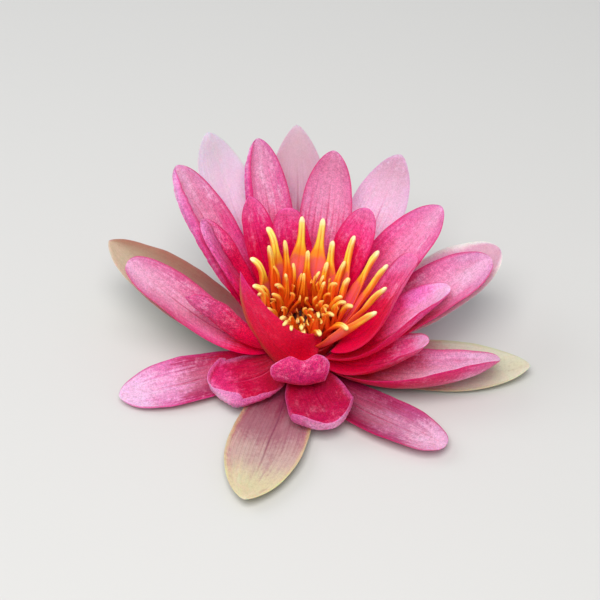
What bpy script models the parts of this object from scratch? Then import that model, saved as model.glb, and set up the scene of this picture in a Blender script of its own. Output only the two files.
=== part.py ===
"""A water lily flower, cut from its plant and resting on a flat surface, in metres, +Z up.

A short stub of the flower stalk carries the ovary. Sepals, petals and stamens are set round the ovary
in rings, each on its own base. The flower leans open towards -Y, where its sepal lies on the surface.
"""

import math
from dataclasses import dataclass

import bmesh
import bpy
import numpy as np
from mathutils import Matrix, Vector

MM = 0.001

# The stalk stub and the ovary, as radius and height in millimetres.
STUB_RADIUS = 4.4
STUB_HEIGHT = 2.6
OVARY_PROFILE = ((4.9, 2.9), (7.4, 3.2), (8.3, 5.0), (9.3, 8.0), (10.4, 11.5), (11.2, 14.0), (12.0, 14.8))
STIGMA_RIM_RADIUS = 6.4
STIGMA_RIM_HEIGHT = 15.6
STIGMA_EYE_HEIGHT = 13.6

# How finely a blade is divided along its length and round its edge.
BLADE_STATIONS = 13
BLADE_AROUND = 10
STAMEN_STATIONS = 9
STAMEN_AROUND = 6
TURNED_STEPS = 40

# The blade stops just short of its point, so that the tip is a small rounded cap.
TIP_END = 0.985


@dataclass
class Whorl:
    """What the blades of one ring share. Base is the radius and height of the foot, in millimetres.

    Widest is where along its length a blade is widest, taper how blunt its point is, claw the width of its
    foot as a share of its full width, and cup the half angle in degrees that it curves through from side
    to side.
    """

    base: tuple
    thickness: float
    widest: float
    taper: float
    claw: float
    cup: float
    colour: tuple
    roughness: float


SEPALS = Whorl((8.8, 3.0), 1.1, 0.55, 0.72, 0.36, 28, (0.62, 0.50, 0.42), 0.55)
OUTER = Whorl((9.6, 5.4), 0.9, 0.60, 0.66, 0.32, 30, (0.76, 0.56, 0.70), 0.45)
MIDDLE = Whorl((10.4, 8.0), 0.9, 0.60, 0.62, 0.32, 40, (0.75, 0.16, 0.36), 0.42)
INNER = Whorl((12.0, 12.0), 0.9, 0.62, 0.55, 0.40, 45, (0.56, 0.01, 0.09), 0.40)


@dataclass
class Blade:
    """One sepal or petal: a cupped blade on a smooth midline from its foot on the ovary to its tip.

    Azimuth, reach and height place the tip, in degrees and millimetres. Dip is how far the midline leaves
    its foot below the straight line to the tip, and lift how far it ends above that line, in degrees.
    Roll turns the blade about its midline and raises its anticlockwise edge. Foot, facing, leaving and
    heading are azimuths: where the foot stands, which way the blade's back faces, and which way its midline
    runs at the foot and at the tip. The other values are the whorl's own unless a blade needs its own.
    """

    name: str
    whorl: Whorl
    azimuth: float
    reach: float
    height: float
    dip: float
    lift: float
    width: float
    roll: float = 0.0
    foot: float = None
    base: tuple = None
    facing: float = None
    heading: float = None
    leaving: float = None
    cup: float = None
    claw: float = None
    taper: float = None
    widest: float = None
    bow: float = 0.36

    def own(self, key):
        """The blade's own value, or its whorl's."""
        value = getattr(self, key)
        return getattr(self.whorl, key) if value is None else value


BLADES = (
    Blade("sepal_left", SEPALS, 154, 67.5, 24.0, 14, 8, 23),
    Blade("sepal_front", SEPALS, -105.5, 61.0, 2.5, 13, 6, 24),
    Blade("sepal_right", SEPALS, -5.5, 70.5, 3.5, 9, 8, 21, roll=4, cup=12),
    Blade("sepal_back", SEPALS, 92, 43.5, 59.0, 71, 12, 21.5, roll=-3, base=(8.6, 1.6), cup=14, claw=0.28,
          bow=0.5),
    Blade("outer_petal_back_left", OUTER, 123, 54.0, 54.5, 9, 10, 18.5, roll=-11, claw=0.28),
    Blade("outer_petal_back_right", OUTER, 53, 51.5, 49.0, 16, 10, 20, roll=4, claw=0.28),
    Blade("outer_petal_right", OUTER, 18.5, 65, 27.5, 14, 10, 25, roll=4, foot=17, claw=0.22, taper=0.5),
    Blade("middle_petal_left_back", MIDDLE, 143, 48.0, 54.0, 14, 6, 18, base=(10.5, 8.6)),
    Blade("middle_petal_back_left", MIDDLE, 110, 40.0, 58.0, 12, 6, 16),
    Blade("middle_petal_back", MIDDLE, 74.5, 37.5, 54.5, 16, 6, 17.5, cup=35),
    Blade("middle_petal_right_back", MIDDLE, 28, 48.5, 43.0, 10, 6, 19.5, foot=35, claw=0.2),
    Blade("middle_petal_right", MIDDLE, 9.5, 58.4, 32.5, 14, 6, 22.3, roll=3.3, base=(10.2, 7.6), foot=4.4,
          cup=45.6, claw=0.18, taper=0.54),
    Blade("middle_petal_right_low", MIDDLE, -11.5, 61, 11.5, 10, 22, 25, roll=-15, base=(9.4, 4.8),
          foot=-36, heading=6, cup=68, claw=0.2, taper=0.42),
    Blade("middle_petal_front_right", MIDDLE, -43.5, 57.0, 3.2, 8, 9, 17, base=(9.2, 4.1), foot=-62, cup=34,
          claw=0.24, taper=0.45),
    Blade("middle_petal_left_low", MIDDLE, -162, 58.0, 2.0, 8, 4, 18, roll=-10, base=(9.6, 5.0), foot=-160,
          cup=30),
    Blade("middle_petal_left", MIDDLE, 171, 54, 32, 16, 6, 18.5, roll=-12, base=(10.2, 7.4), foot=186,
          claw=0.22, taper=0.42, widest=0.62),
    Blade("inner_petal_left_back", INNER, 150.5, 35.5, 42, 14, 6, 14, foot=152),
    Blade("inner_petal_left", INNER, -174, 34.5, 29.5, 18, 4, 14.5, roll=42, base=(11.2, 9.5), foot=-160,
          cup=72, claw=0.3, taper=0.4),
    Blade("inner_petal_back_left", INNER, 124, 29.5, 46, 12, 6, 12, foot=125, taper=0.65),
    Blade("inner_petal_back", INNER, 99.6, 25.2, 41.4, 12, 6, 12.7, foot=89.2, claw=0.36, taper=0.37),
    Blade("inner_petal_back_right", INNER, 45, 29.0, 44.5, 14, 6, 14, foot=54),
    Blade("inner_petal_right_back", INNER, 17.7, 36.3, 33, 18, 8, 19.7, base=(13, 14.4), foot=-26,
          facing=-10, heading=35, cup=36.2, claw=0.71, taper=0.3, widest=0.66),
    Blade("inner_petal_right", INNER, 2.5, 45, 28.2, 21, 8, 20.5, base=(11.2, 9.8), foot=-27, facing=-16,
          heading=12, cup=60, claw=0.9, taper=0.5),
    Blade("inner_petal_right_low", INNER, -15, 39.5, 17.1, 31, 28, 16.8, base=(10.8, 8.8), foot=-42.4,
          facing=-32, cup=56.9, claw=0.41, taper=0.47),
    Blade("inner_petal_front", INNER, -92, 19, 22, 75, 55, 18, base=(11.2, 9.4), cup=22, claw=0.66,
          taper=0.44, widest=0.8, bow=0.7),
    Blade("inner_petal_front_left", INNER, -148, 34, 4.5, 14, 4, 20, base=(10.2, 7), foot=-132, cup=5,
          claw=0.5),
    Blade("inner_petal_front_right", INNER, -75.5, 36.5, 5.6, 2, 4, 19.5, roll=5, base=(10.3, 7.8),
          foot=-82, cup=5, claw=0.32, taper=0.45),
    Blade("inner_petal_front_wall", INNER, -156.5, 19.4, 44.3, 42.9, 26.4, 15.5, roll=-21.5,
          base=(14, 12.6), foot=-75.3, facing=-97.7, leaving=-186.7, heading=-192.8, cup=25.4, claw=0.3,
          taper=1.23, widest=0.35, bow=0.35),
)


@dataclass
class Stamen:
    """One stamen: foot azimuth, ring, then the tip's azimuth, reach and height, and its bends in degrees."""

    foot: float
    ring: int
    azimuth: float
    reach: float
    height: float
    dip: float = 0.0
    lift: float = 8.0


# Foot radius, foot width and tip width of each ring of stamens, from the outside in, in millimetres.
STAMEN_RINGS = ((11.4, 3.9, 2.0), (9.3, 3.0, 1.7), (7.3, 2.2, 1.5))
STAMEN_BASE_HEIGHT = 15.9
STAMEN_THICKNESS = 1.3
STAMEN_COLOUR = (0.86, 0.26, 0.03)

STAMENS = (
    Stamen(100, 0, 90, 22.0, 40.0),
    Stamen(75, 0, 73, 22.0, 40.0),
    Stamen(128, 0, 119, 22.0, 38.0, 10, -60),
    Stamen(155, 0, 150, 18.0, 34.5, 10, -60),
    Stamen(-178, 0, 172, 15.0, 29.5, 0, -70),
    Stamen(51, 0, 60, 19.0, 35.0),
    Stamen(27, 0, 46, 23.0, 37.0),
    Stamen(6, 0, 27, 26.0, 35.0),
    Stamen(-14, 0, 11, 26.0, 35.5),
    Stamen(-36, 0, -4, 25.0, 32.5),
    Stamen(-60, 0, -21, 23.5, 28.6),
    Stamen(142, 1, 131, 15.0, 37.5, -6, 12),
    Stamen(112, 1, 108, 17.0, 35.5),
    Stamen(85, 1, 83, 15.0, 32.5),
    Stamen(60, 1, 58, 14.5, 30.0),
    Stamen(36, 1, 42, 17.5, 31.0),
    Stamen(12, 1, 24, 15.5, 29.0),
    Stamen(-12, 1, -8, 15.5, 25.0, 20, -60),
    Stamen(-40, 1, -39, 17.5, 24.0, -30, -60),
    Stamen(-70, 1, -68, 14.5, 24.0, -10, -60),
    Stamen(-100, 1, -88, 12.5, 23.5, -10, -60),
    Stamen(-132, 1, -128, 10.5, 25.5, 0, -70),
    Stamen(-162, 1, -155, 12.5, 26.5, 0, -60),
    Stamen(165, 2, -175, 9.0, 29.0, 0, -40),
    Stamen(130, 2, 125, 8.5, 30.0),
    Stamen(92, 2, 86, 8.5, 29.0, 0, -30),
    Stamen(56, 2, 45, 9.5, 27.0),
    Stamen(15, 2, 2, 12.0, 27.0, 0, -20),
    Stamen(-50, 2, -45, 10.0, 23.0, -10, -60),
    Stamen(-118, 2, -100, 8.0, 24.0, -10, -60),
)


def polar(azimuth, radius, height):
    """The point at this azimuth in degrees, radius and height."""
    angle = math.radians(azimuth)
    return np.array((radius * math.cos(angle), radius * math.sin(angle), height))


def direction(azimuth, rise):
    """The unit vector at this azimuth and angle above the horizontal, both in degrees."""
    return polar(azimuth, math.cos(math.radians(rise)), math.sin(math.radians(rise)))


def midline(foot, tip, foot_azimuth, tip_azimuth, dip, lift, bow):
    """Points and tangents of the cubic curve from the foot to the tip, close together and evenly spaced."""
    chord = tip - foot
    length = np.linalg.norm(chord)
    rise = math.degrees(math.atan2(chord[2], math.hypot(chord[0], chord[1])))
    first = foot + direction(foot_azimuth, rise - dip) * length * bow
    second = tip - direction(tip_azimuth, rise + lift) * length * bow
    t = np.linspace(0, 1, 200)[:, None]
    points = (1 - t) ** 3 * foot + 3 * (1 - t) ** 2 * t * first + 3 * (1 - t) * t**2 * second + t**3 * tip
    slopes = (1 - t) ** 2 * (first - foot) + 2 * (1 - t) * t * (second - first) + t**2 * (tip - second)
    steps = np.linalg.norm(np.diff(points, axis=0), axis=1)
    run = np.concatenate(([0], np.cumsum(steps))) / steps.sum()
    return run, points, slopes / np.linalg.norm(slopes, axis=1)[:, None]


def sampled(run, values, at):
    """Rows of values read off at these fractions of the run."""
    return np.stack([np.interp(at, run, column) for column in values.T], axis=1)


def cross_frames(tangents, facing, roll):
    """The sideways and inward directions along a midline, for a blade that faces this azimuth."""
    angle = math.radians(facing)
    level = np.array((-math.sin(angle), math.cos(angle), 0.0))
    side = level - (tangents @ level)[:, None] * tangents
    side /= np.linalg.norm(side, axis=1)[:, None]
    inward = np.cross(tangents, side)
    turn = math.radians(roll)
    return side * math.cos(turn) + inward * math.sin(turn), inward * math.cos(turn) - side * math.sin(turn)


def closed_tube(points, side, inward, half_width, half_angle, half_thickness, around):
    """A flattened tube along the points, curved from side to side, with its two ends closed.

    Returns its vertices in millimetres and its faces.
    """
    rows = []
    for i, centre in enumerate(points):
        for j in range(around):
            turn = 2 * math.pi * j / around
            bend = math.cos(turn) * half_angle[i]
            across = half_width[i] * math.sin(bend) / half_angle[i]
            up = half_width[i] * (1 - math.cos(bend)) / half_angle[i]
            skin = half_thickness[i] * math.sin(turn)
            sideways = side[i] * (across - skin * math.sin(bend))
            rows.append(centre + sideways + inward[i] * (up + skin * math.cos(bend)))
    count = len(points)
    faces = []
    for i in range(count - 1):
        for j in range(around):
            near, far = i * around, (i + 1) * around
            after = (j + 1) % around
            faces.append((near + j, far + j, far + after, near + after))
    foot_centre, tip_centre = len(rows), len(rows) + 1
    last = (count - 1) * around
    rows.append(np.mean(rows[:around], axis=0))
    rows.append(np.mean(rows[last:last + around], axis=0))
    for j in range(around):
        after = (j + 1) % around
        faces.append((j, after, foot_centre))
        faces.append((last + after, last + j, tip_centre))
    return np.array(rows), faces


def blade_width(t, widest, taper, claw):
    """A blade's width at these fractions of its length, as a share of its full width."""
    lead = taper * widest / (1 - widest)
    swell = (t / widest) ** lead * ((1 - t) / (1 - widest)) ** taper
    return np.where(t < widest, claw + (1 - claw) * swell, swell)


def blade_solid(blade):
    """The vertices and faces of one sepal or petal."""
    foot_azimuth = blade.azimuth if blade.foot is None else blade.foot
    facing = foot_azimuth if blade.facing is None else blade.facing
    heading = blade.azimuth if blade.heading is None else blade.heading
    leaving = foot_azimuth if blade.leaving is None else blade.leaving
    radius, height = blade.own("base")
    run, points, tangents = midline(
        polar(foot_azimuth, radius, height), polar(blade.azimuth, blade.reach, blade.height),
        leaving, heading, blade.dip, blade.lift, blade.bow)
    side, inward = cross_frames(tangents, facing, blade.roll)
    # Stations lie closer together towards the tip, where the outline turns most.
    at = TIP_END * (1 - (1 - np.linspace(0, 1, BLADE_STATIONS)) ** 1.25)
    share = blade_width(at, blade.own("widest"), blade.own("taper"), blade.own("claw"))
    half_thickness = blade.whorl.thickness / 2 * np.clip(0.35 + 0.8 * share, 0.3, 1)
    return closed_tube(
        sampled(run, points, at), sampled(run, side, at), sampled(run, inward, at), share * blade.width / 2,
        math.radians(blade.own("cup")) * share, half_thickness, BLADE_AROUND)


def stamen_solid(stamen):
    """The vertices and faces of one stamen, a strap that narrows to its anther."""
    radius, foot_width, tip_width = STAMEN_RINGS[stamen.ring]
    run, points, tangents = midline(
        polar(stamen.foot, radius, STAMEN_BASE_HEIGHT), polar(stamen.azimuth, stamen.reach, stamen.height),
        stamen.azimuth, stamen.azimuth, stamen.dip, stamen.lift, 0.36)
    side, inward = cross_frames(tangents, stamen.foot, 0)
    at = TIP_END * (1 - (1 - np.linspace(0, 1, STAMEN_STATIONS)) ** 1.2)
    width = foot_width + (tip_width - foot_width) * at**0.8
    rounding = np.sqrt(1 - np.clip((at - 0.9) / 0.1, 0, 1) ** 2)
    half_width = width / 2 * rounding
    return closed_tube(
        sampled(run, points, at), sampled(run, side, at), sampled(run, inward, at), half_width,
        np.full(len(at), 0.5), STAMEN_THICKNESS / 2 * np.maximum(rounding, 0.3), STAMEN_AROUND)


def material(name, colour, roughness):
    """A plain material of this colour and roughness."""
    made = bpy.data.materials.new(name)
    made.use_nodes = True
    shader = made.node_tree.nodes["Principled BSDF"]
    shader.inputs["Base Color"].default_value = (*colour, 1)
    shader.inputs["Roughness"].default_value = roughness
    shader.inputs["Metallic"].default_value = 0
    return made


def add_object(name, vertices, faces, finish):
    """One closed, smoothly shaded object from vertices in millimetres."""
    mesh = bpy.data.meshes.new(name)
    mesh.from_pydata([tuple(vertex) for vertex in vertices * MM], [], faces)
    shell = bmesh.new()
    shell.from_mesh(mesh)
    bmesh.ops.recalc_face_normals(shell, faces=shell.faces)
    shell.to_mesh(mesh)
    shell.free()
    mesh.shade_smooth()
    mesh.materials.append(finish)
    made = bpy.data.objects.new(name, mesh)
    bpy.context.scene.collection.objects.link(made)
    return made


def turned_solid(profile):
    """A profile of radius and height turned about Z, with its first and last points closed at the axis."""
    turns = [2 * math.pi * k / TURNED_STEPS for k in range(TURNED_STEPS)]
    vertices = [(r * math.cos(a), r * math.sin(a), z) for r, z in profile for a in turns]
    faces = []
    for i in range(len(profile) - 1):
        for k in range(TURNED_STEPS):
            after = (k + 1) % TURNED_STEPS
            low, high = i * TURNED_STEPS, (i + 1) * TURNED_STEPS
            faces.append((low + k, low + after, high + after, high + k))
    faces.append(tuple(range(TURNED_STEPS - 1, -1, -1)))
    last = (len(profile) - 1) * TURNED_STEPS
    vertices.append((0, 0, STIGMA_EYE_HEIGHT if len(profile) > 3 else profile[-1][1]))
    for k in range(TURNED_STEPS):
        faces.append((last + k, last + (k + 1) % TURNED_STEPS, len(vertices) - 1))
    return np.array(vertices), faces


def build_stem():
    """The stub of the flower stalk, cut square where it stands on the surface."""
    profile = ((STUB_RADIUS, 0), (STUB_RADIUS, STUB_HEIGHT / 2), (STUB_RADIUS, STUB_HEIGHT))
    vertices, faces = turned_solid(profile)
    add_object("stem_stub", vertices, faces, material("stem", (0.20, 0.22, 0.07), 0.6))


def build_ovary():
    """The ovary, widening upwards, with the saucer of the stigma in its top."""
    profile = OVARY_PROFILE + ((STIGMA_RIM_RADIUS, STIGMA_RIM_HEIGHT),)
    vertices, faces = turned_solid(profile)
    add_object("ovary", vertices, faces, material("ovary", (0.45, 0.38, 0.08), 0.6))


def build_blades():
    """Every sepal and petal, each its own object."""
    finishes = {}
    for blade in BLADES:
        key = blade.whorl.colour
        if key not in finishes:
            finishes[key] = material(blade.name.rsplit("_", 1)[0], blade.whorl.colour, blade.whorl.roughness)
        vertices, faces = blade_solid(blade)
        add_object(blade.name, vertices, faces, finishes[key])


def build_stamens():
    """Every large stamen, numbered round each ring."""
    finish = material("stamen", STAMEN_COLOUR, 0.5)
    for number, stamen in enumerate(STAMENS, 1):
        vertices, faces = stamen_solid(stamen)
        add_object(f"stamen_{number:02d}", vertices, faces, finish)


def centre_footprint():
    """Moves the flower so that its footprint is centred on the origin and its lowest point is at Z 0."""
    corners = np.array([vertex.co for made in bpy.data.objects for vertex in made.data.vertices])
    low, high = corners.min(axis=0), corners.max(axis=0)
    shift = Vector((-(low[0] + high[0]) / 2, -(low[1] + high[1]) / 2, -low[2]))
    for made in bpy.data.objects:
        made.data.transform(Matrix.Translation(shift))


def main():
    """Clears the scene and builds the flower."""
    for old in list(bpy.data.objects):
        bpy.data.objects.remove(old, do_unlink=True)
    build_stem()
    build_ovary()
    build_blades()
    build_stamens()
    centre_footprint()


if __name__ == "__main__":
    main()
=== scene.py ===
"""A cut water lily flower standing on a pale surface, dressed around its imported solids."""

import logging
import math
from dataclasses import dataclass, replace
from enum import Enum
from typing import Dict, List, Optional, Sequence, Tuple, Union

import bmesh
import bpy
import numpy as np
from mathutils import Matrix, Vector


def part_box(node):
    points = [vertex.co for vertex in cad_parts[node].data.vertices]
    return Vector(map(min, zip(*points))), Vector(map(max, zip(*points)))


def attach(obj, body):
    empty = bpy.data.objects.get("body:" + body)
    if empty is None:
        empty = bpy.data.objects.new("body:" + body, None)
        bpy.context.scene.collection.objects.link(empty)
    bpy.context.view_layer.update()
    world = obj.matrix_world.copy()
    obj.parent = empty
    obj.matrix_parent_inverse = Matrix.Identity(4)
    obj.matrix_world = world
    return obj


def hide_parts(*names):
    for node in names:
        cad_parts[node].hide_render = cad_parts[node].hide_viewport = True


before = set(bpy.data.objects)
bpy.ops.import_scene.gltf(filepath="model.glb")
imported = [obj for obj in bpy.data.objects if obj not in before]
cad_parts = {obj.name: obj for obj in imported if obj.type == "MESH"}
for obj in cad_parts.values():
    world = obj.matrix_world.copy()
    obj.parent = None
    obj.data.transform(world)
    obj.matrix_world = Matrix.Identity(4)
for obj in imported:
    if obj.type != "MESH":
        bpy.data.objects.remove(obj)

LOG = logging.getLogger("water_lily")
MM = 0.001
ROOT = "root"
BLADE_PLACE = "blade_place"
SPINE_POINTS = ("Foot", "Foot handle", "Tip handle", "Tip", "Level")

# Points of a closed shape that lie this close, in metres, become one.
MERGE_REACH = 1e-6
# The pieces that a midline is measured in, and the length of its handles as a share of its chord.
CURVE_STEPS = 128
HANDLE_SHARE = 0.36
# The lengthwise ridges across a petal's face.
RIDGES = 11.0
# The fineness of a petal's grain and of its cells.
GRAIN_PER_METRE = 2600.0
CELLS_PER_METRE = 950.0
# Half the thickness of a stamen's strap, what its anther adds to that, the height of the anther's
# lobes and how far a strap wavers, in metres.
STRAP_HALF = 0.00042
ANTHER_HALF = 0.00028
LOBE_HEIGHT = 0.00042
STRAP_BOW = 0.0008
# Where along a stamen its end starts to round and over what share, how far across its lobes
# are highest and how wide they reach, and how far its strap is dished.
END_FROM = 0.93
END_LENGTH = 0.07
LOBE_PLACE = 0.52
LOBE_REACH = 0.5
STRAP_DISH = 0.16
# The heights that a skin's relief of 1 stands for, in metres.
COARSE_RELIEF = 0.0004
FINE_RELIEF = 0.0003
# How far a tuft's straps stray from their even turns, in radians for each metre of jitter.
TURN_PER_METRE = 700.0
# The angle in degrees that spreads the small stamens evenly.
GOLDEN_TURN = 137.508
SEED_STEP = 31
FULL_CHANNEL = 255

Colour = Tuple[float, float, float]
Number = Union["Term", float]


class Kind(Enum):
    """The socket types that a recipe's inputs may have."""

    LENGTH = "NodeSocketFloat"
    COUNT = "NodeSocketInt"
    POINT = "NodeSocketVector"
    FINISH = "NodeSocketMaterial"


# ------------------------------------------------------------------------------
# Arithmetic on node sockets
# ------------------------------------------------------------------------------


class Term:
    """A number on a node's output socket, which can be written into sums and products."""

    def __init__(self, socket: bpy.types.NodeSocket) -> None:
        """Keeps the socket."""
        self.socket = socket

    def __add__(self, other: Number) -> "Term":
        """The sum."""
        return calculated("ADD", self, other)

    __radd__ = __add__

    def __sub__(self, other: Number) -> "Term":
        """The difference."""
        return calculated("SUBTRACT", self, other)

    def __rsub__(self, other: Number) -> "Term":
        """The difference the other way round."""
        return calculated("SUBTRACT", other, self)

    def __mul__(self, other: Number) -> "Term":
        """The product."""
        return calculated("MULTIPLY", self, other)

    __rmul__ = __mul__

    def __truediv__(self, other: Number) -> "Term":
        """The quotient."""
        return calculated("DIVIDE", self, other)

    def __pow__(self, other: Number) -> "Term":
        """The power."""
        return calculated("POWER", self, other)

    def __neg__(self) -> "Term":
        """The same size with the other sign."""
        return calculated("MULTIPLY", self, -1.0)


class Arrow(Term):
    """A vector on a node's output socket."""

    def __add__(self, other: "Arrow") -> "Arrow":
        """The sum of two vectors."""
        return Arrow(vectored("ADD", self, other).outputs["Vector"])

    def __sub__(self, other: "Arrow") -> "Arrow":
        """The difference of two vectors."""
        return Arrow(vectored("SUBTRACT", self, other).outputs["Vector"])

    def __mul__(self, other: Number) -> "Arrow":
        """The vector at this many times its length."""
        node = vectored("SCALE", self)
        plug(node.inputs["Scale"], other)
        return Arrow(node.outputs["Vector"])

    def dot(self, other: "Arrow") -> Term:
        """The dot product."""
        return Term(vectored("DOT_PRODUCT", self, other).outputs["Value"])

    def cross(self, other: "Arrow") -> "Arrow":
        """The cross product."""
        return Arrow(vectored("CROSS_PRODUCT", self, other).outputs["Vector"])

    def unit(self) -> "Arrow":
        """The vector at length 1."""
        return Arrow(vectored("NORMALIZE", self).outputs["Vector"])

    def parts(self) -> Tuple[Term, Term, Term]:
        """The three components."""
        node = self.socket.id_data.nodes.new("ShaderNodeSeparateXYZ")
        plug(node.inputs[0], self)
        return Term(node.outputs[0]), Term(node.outputs[1]), Term(node.outputs[2])


def plug(target: bpy.types.NodeSocket, value: object) -> None:
    """Links a term to an input socket, or sets the socket to a constant.

    Args:
        target: The input socket.
        value: A term or a constant.
    """
    if isinstance(value, Term):
        target.id_data.links.new(value.socket, target)
    else:
        target.default_value = value


def tree_of(*values: object) -> bpy.types.NodeTree:
    """The node tree that the first term among the values is in."""
    return next(value.socket.id_data for value in values if isinstance(value, Term))


def live(sockets: Sequence[bpy.types.NodeSocket]) -> List[bpy.types.NodeSocket]:
    """The sockets that the node's settings leave in use, in order."""
    return [socket for socket in sockets if socket.enabled]


def calculated(operation: str, *values: Number) -> Term:
    """A Math node's result.

    Args:
        operation: The node's operation.
        values: Its inputs, in order.

    Returns:
        The result as a term.
    """
    node = tree_of(*values).nodes.new("ShaderNodeMath")
    node.operation = operation
    for target, value in zip(node.inputs, values):
        plug(target, value)
    return Term(node.outputs[0])


def vectored(operation: str, *values: "Arrow") -> bpy.types.Node:
    """A Vector Math node.

    Args:
        operation: The node's operation.
        values: Its inputs, in order.

    Returns:
        The node.
    """
    node = tree_of(*values).nodes.new("ShaderNodeVectorMath")
    node.operation = operation
    for target, value in zip(node.inputs, values):
        plug(target, value)
    return node


def arrow(tree: bpy.types.NodeTree, x: Number, y: Number, z: Number) -> Arrow:
    """A vector made of three numbers.

    Args:
        tree: The node tree that it is made in.
        x: The first number.
        y: The second.
        z: The third.

    Returns:
        The vector.
    """
    node = tree.nodes.new("ShaderNodeCombineXYZ")
    for target, value in zip(node.inputs, (x, y, z)):
        plug(target, value)
    return Arrow(node.outputs[0])


def sine(value: Number) -> Term:
    """The sine."""
    return calculated("SINE", value)


def cosine(value: Number) -> Term:
    """The cosine."""
    return calculated("COSINE", value)


def least(first: Number, second: Number) -> Term:
    """The smaller of two."""
    return calculated("MINIMUM", first, second)


def most(first: Number, second: Number) -> Term:
    """The larger of two."""
    return calculated("MAXIMUM", first, second)


def size_of(value: Number) -> Term:
    """The number without its sign."""
    return calculated("ABSOLUTE", value)


def eased(value: Term, low: float, high: float) -> Term:
    """A smooth step.

    Args:
        value: What is measured.
        low: Where the step starts, at 0.
        high: Where it ends, at 1.

    Returns:
        The step's height, from 0 to 1.
    """
    node = tree_of(value).nodes.new("ShaderNodeMapRange")
    node.interpolation_type = "SMOOTHSTEP"
    plug(node.inputs["Value"], value)
    node.inputs["From Min"].default_value = low
    node.inputs["From Max"].default_value = high
    return Term(node.outputs["Result"])


def clouds(at: Arrow, scale: float, detail: float = 2.0, roughness: float = 0.5) -> Term:
    """Soft noise with a mean near zero.

    Args:
        at: Where it is read.
        scale: Its frequency.
        detail: How many finer layers it has.
        roughness: How strong the finer layers are.

    Returns:
        A value from about -0.5 to 0.5.
    """
    node = tree_of(at).nodes.new("ShaderNodeTexNoise")
    plug(node.inputs["Vector"], at)
    node.inputs["Scale"].default_value = scale
    node.inputs["Detail"].default_value = detail
    node.inputs["Roughness"].default_value = roughness
    return Term(node.outputs[0]) - 0.5


# ------------------------------------------------------------------------------
# Recipes: Geometry Nodes trees with named inputs
# ------------------------------------------------------------------------------


class Recipe:
    """A Geometry Nodes tree with named inputs and a finish, which makes plain meshes."""

    def __init__(self, name: str, points: Sequence[str], lengths: Sequence[str],
                 counts: Sequence[str] = ()) -> None:
        """Makes the tree and its inputs.

        Args:
            name: The tree's name.
            points: The names of the inputs that are points or directions.
            lengths: The names of those that are numbers.
            counts: The names of those that are whole numbers.
        """
        self.tree = bpy.data.node_groups.new(name, "GeometryNodeTree")
        self.keys: Dict[str, str] = {}
        self.kinds: Dict[str, Kind] = {}
        sockets = self.tree.interface
        for kind, titles in ((Kind.POINT, points), (Kind.LENGTH, lengths), (Kind.COUNT, counts),
                             (Kind.FINISH, ("Material",))):
            for title in titles:
                made = sockets.new_socket(title, in_out="INPUT", socket_type=kind.value)
                self.keys[title] = made.identifier
                self.kinds[title] = kind
        sockets.new_socket("Geometry", in_out="OUTPUT", socket_type="NodeSocketGeometry")
        self.entry = self.tree.nodes.new("NodeGroupInput")

    def __getitem__(self, title: str) -> Term:
        """An input, as a term."""
        socket = self.entry.outputs[title]
        return Arrow(socket) if self.kinds[title] is Kind.POINT else Term(socket)

    def node(self, kind: str, inputs: Dict[str, object], **settings: object) -> bpy.types.Node:
        """A new node of this tree.

        Args:
            kind: The node's type.
            inputs: A value for each named input.
            settings: The node's own settings.

        Returns:
            The node.
        """
        made = self.tree.nodes.new(kind)
        for key, setting in settings.items():
            setattr(made, key, setting)
        for title, value in inputs.items():
            plug(made.inputs[title], value)
        return made

    def shape(self, kind: str, inputs: Dict[str, object], **settings: object) -> Term:
        """The first output of a node with these inputs and settings."""
        return Term(self.node(kind, inputs, **settings).outputs[0])

    def stored(self, shape: Term, name: str, value: Term) -> Term:
        """Keeps a value on a shape's points.

        Args:
            shape: The shape.
            name: The attribute's name.
            value: What is kept.

        Returns:
            The shape with the attribute.
        """
        kind = "FLOAT_VECTOR" if isinstance(value, Arrow) else "FLOAT"
        node = self.node("GeometryNodeStoreNamedAttribute", {"Geometry": shape, "Name": name},
                         data_type=kind, domain="POINT")
        plug(live(node.inputs)[-1], value)
        return Term(node.outputs[0])

    def close(self, shape: Term, place: Term) -> None:
        """Moves the shape's points, closes its seams and ends the tree in smooth, dressed geometry.

        Args:
            shape: The shape.
            place: Where each of its points goes.
        """
        for kind, inputs in (("SetPosition", {"Position": place}),
                             ("MergeByDistance", {"Distance": MERGE_REACH}),
                             ("RealizeInstances", {}), ("SetShadeSmooth", {}),
                             ("SetMaterial", {"Material": self["Material"]})):
            shape = self.shape(f"GeometryNode{kind}", {"Geometry": shape, **inputs})
        plug(self.tree.nodes.new("NodeGroupOutput").inputs[0], shape)

    def make(self, name: str, sizes: Dict[str, object]) -> bpy.types.Object:
        """Runs the tree once and keeps the result as a plain mesh.

        Args:
            name: The new object's name.
            sizes: A value for each named input.

        Returns:
            The object, at the origin, with no modifier.
        """
        made = added(name, bpy.data.meshes.new(name))
        modifier = made.modifiers.new("recipe", "NODES")
        modifier.node_group = self.tree
        for title, value in sizes.items():
            kind = self.kinds[title]
            if kind is Kind.LENGTH:
                value = float(value)
            elif kind is Kind.POINT:
                value = [float(part) for part in value]
            modifier[self.keys[title]] = value
        graph = bpy.context.evaluated_depsgraph_get()
        mesh = bpy.data.meshes.new_from_object(
            made.evaluated_get(graph), preserve_all_data_layers=True, depsgraph=graph)
        made.modifiers.remove(modifier)
        made.data = mesh
        mesh.name = name
        faced_outwards(mesh)
        return made


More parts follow.
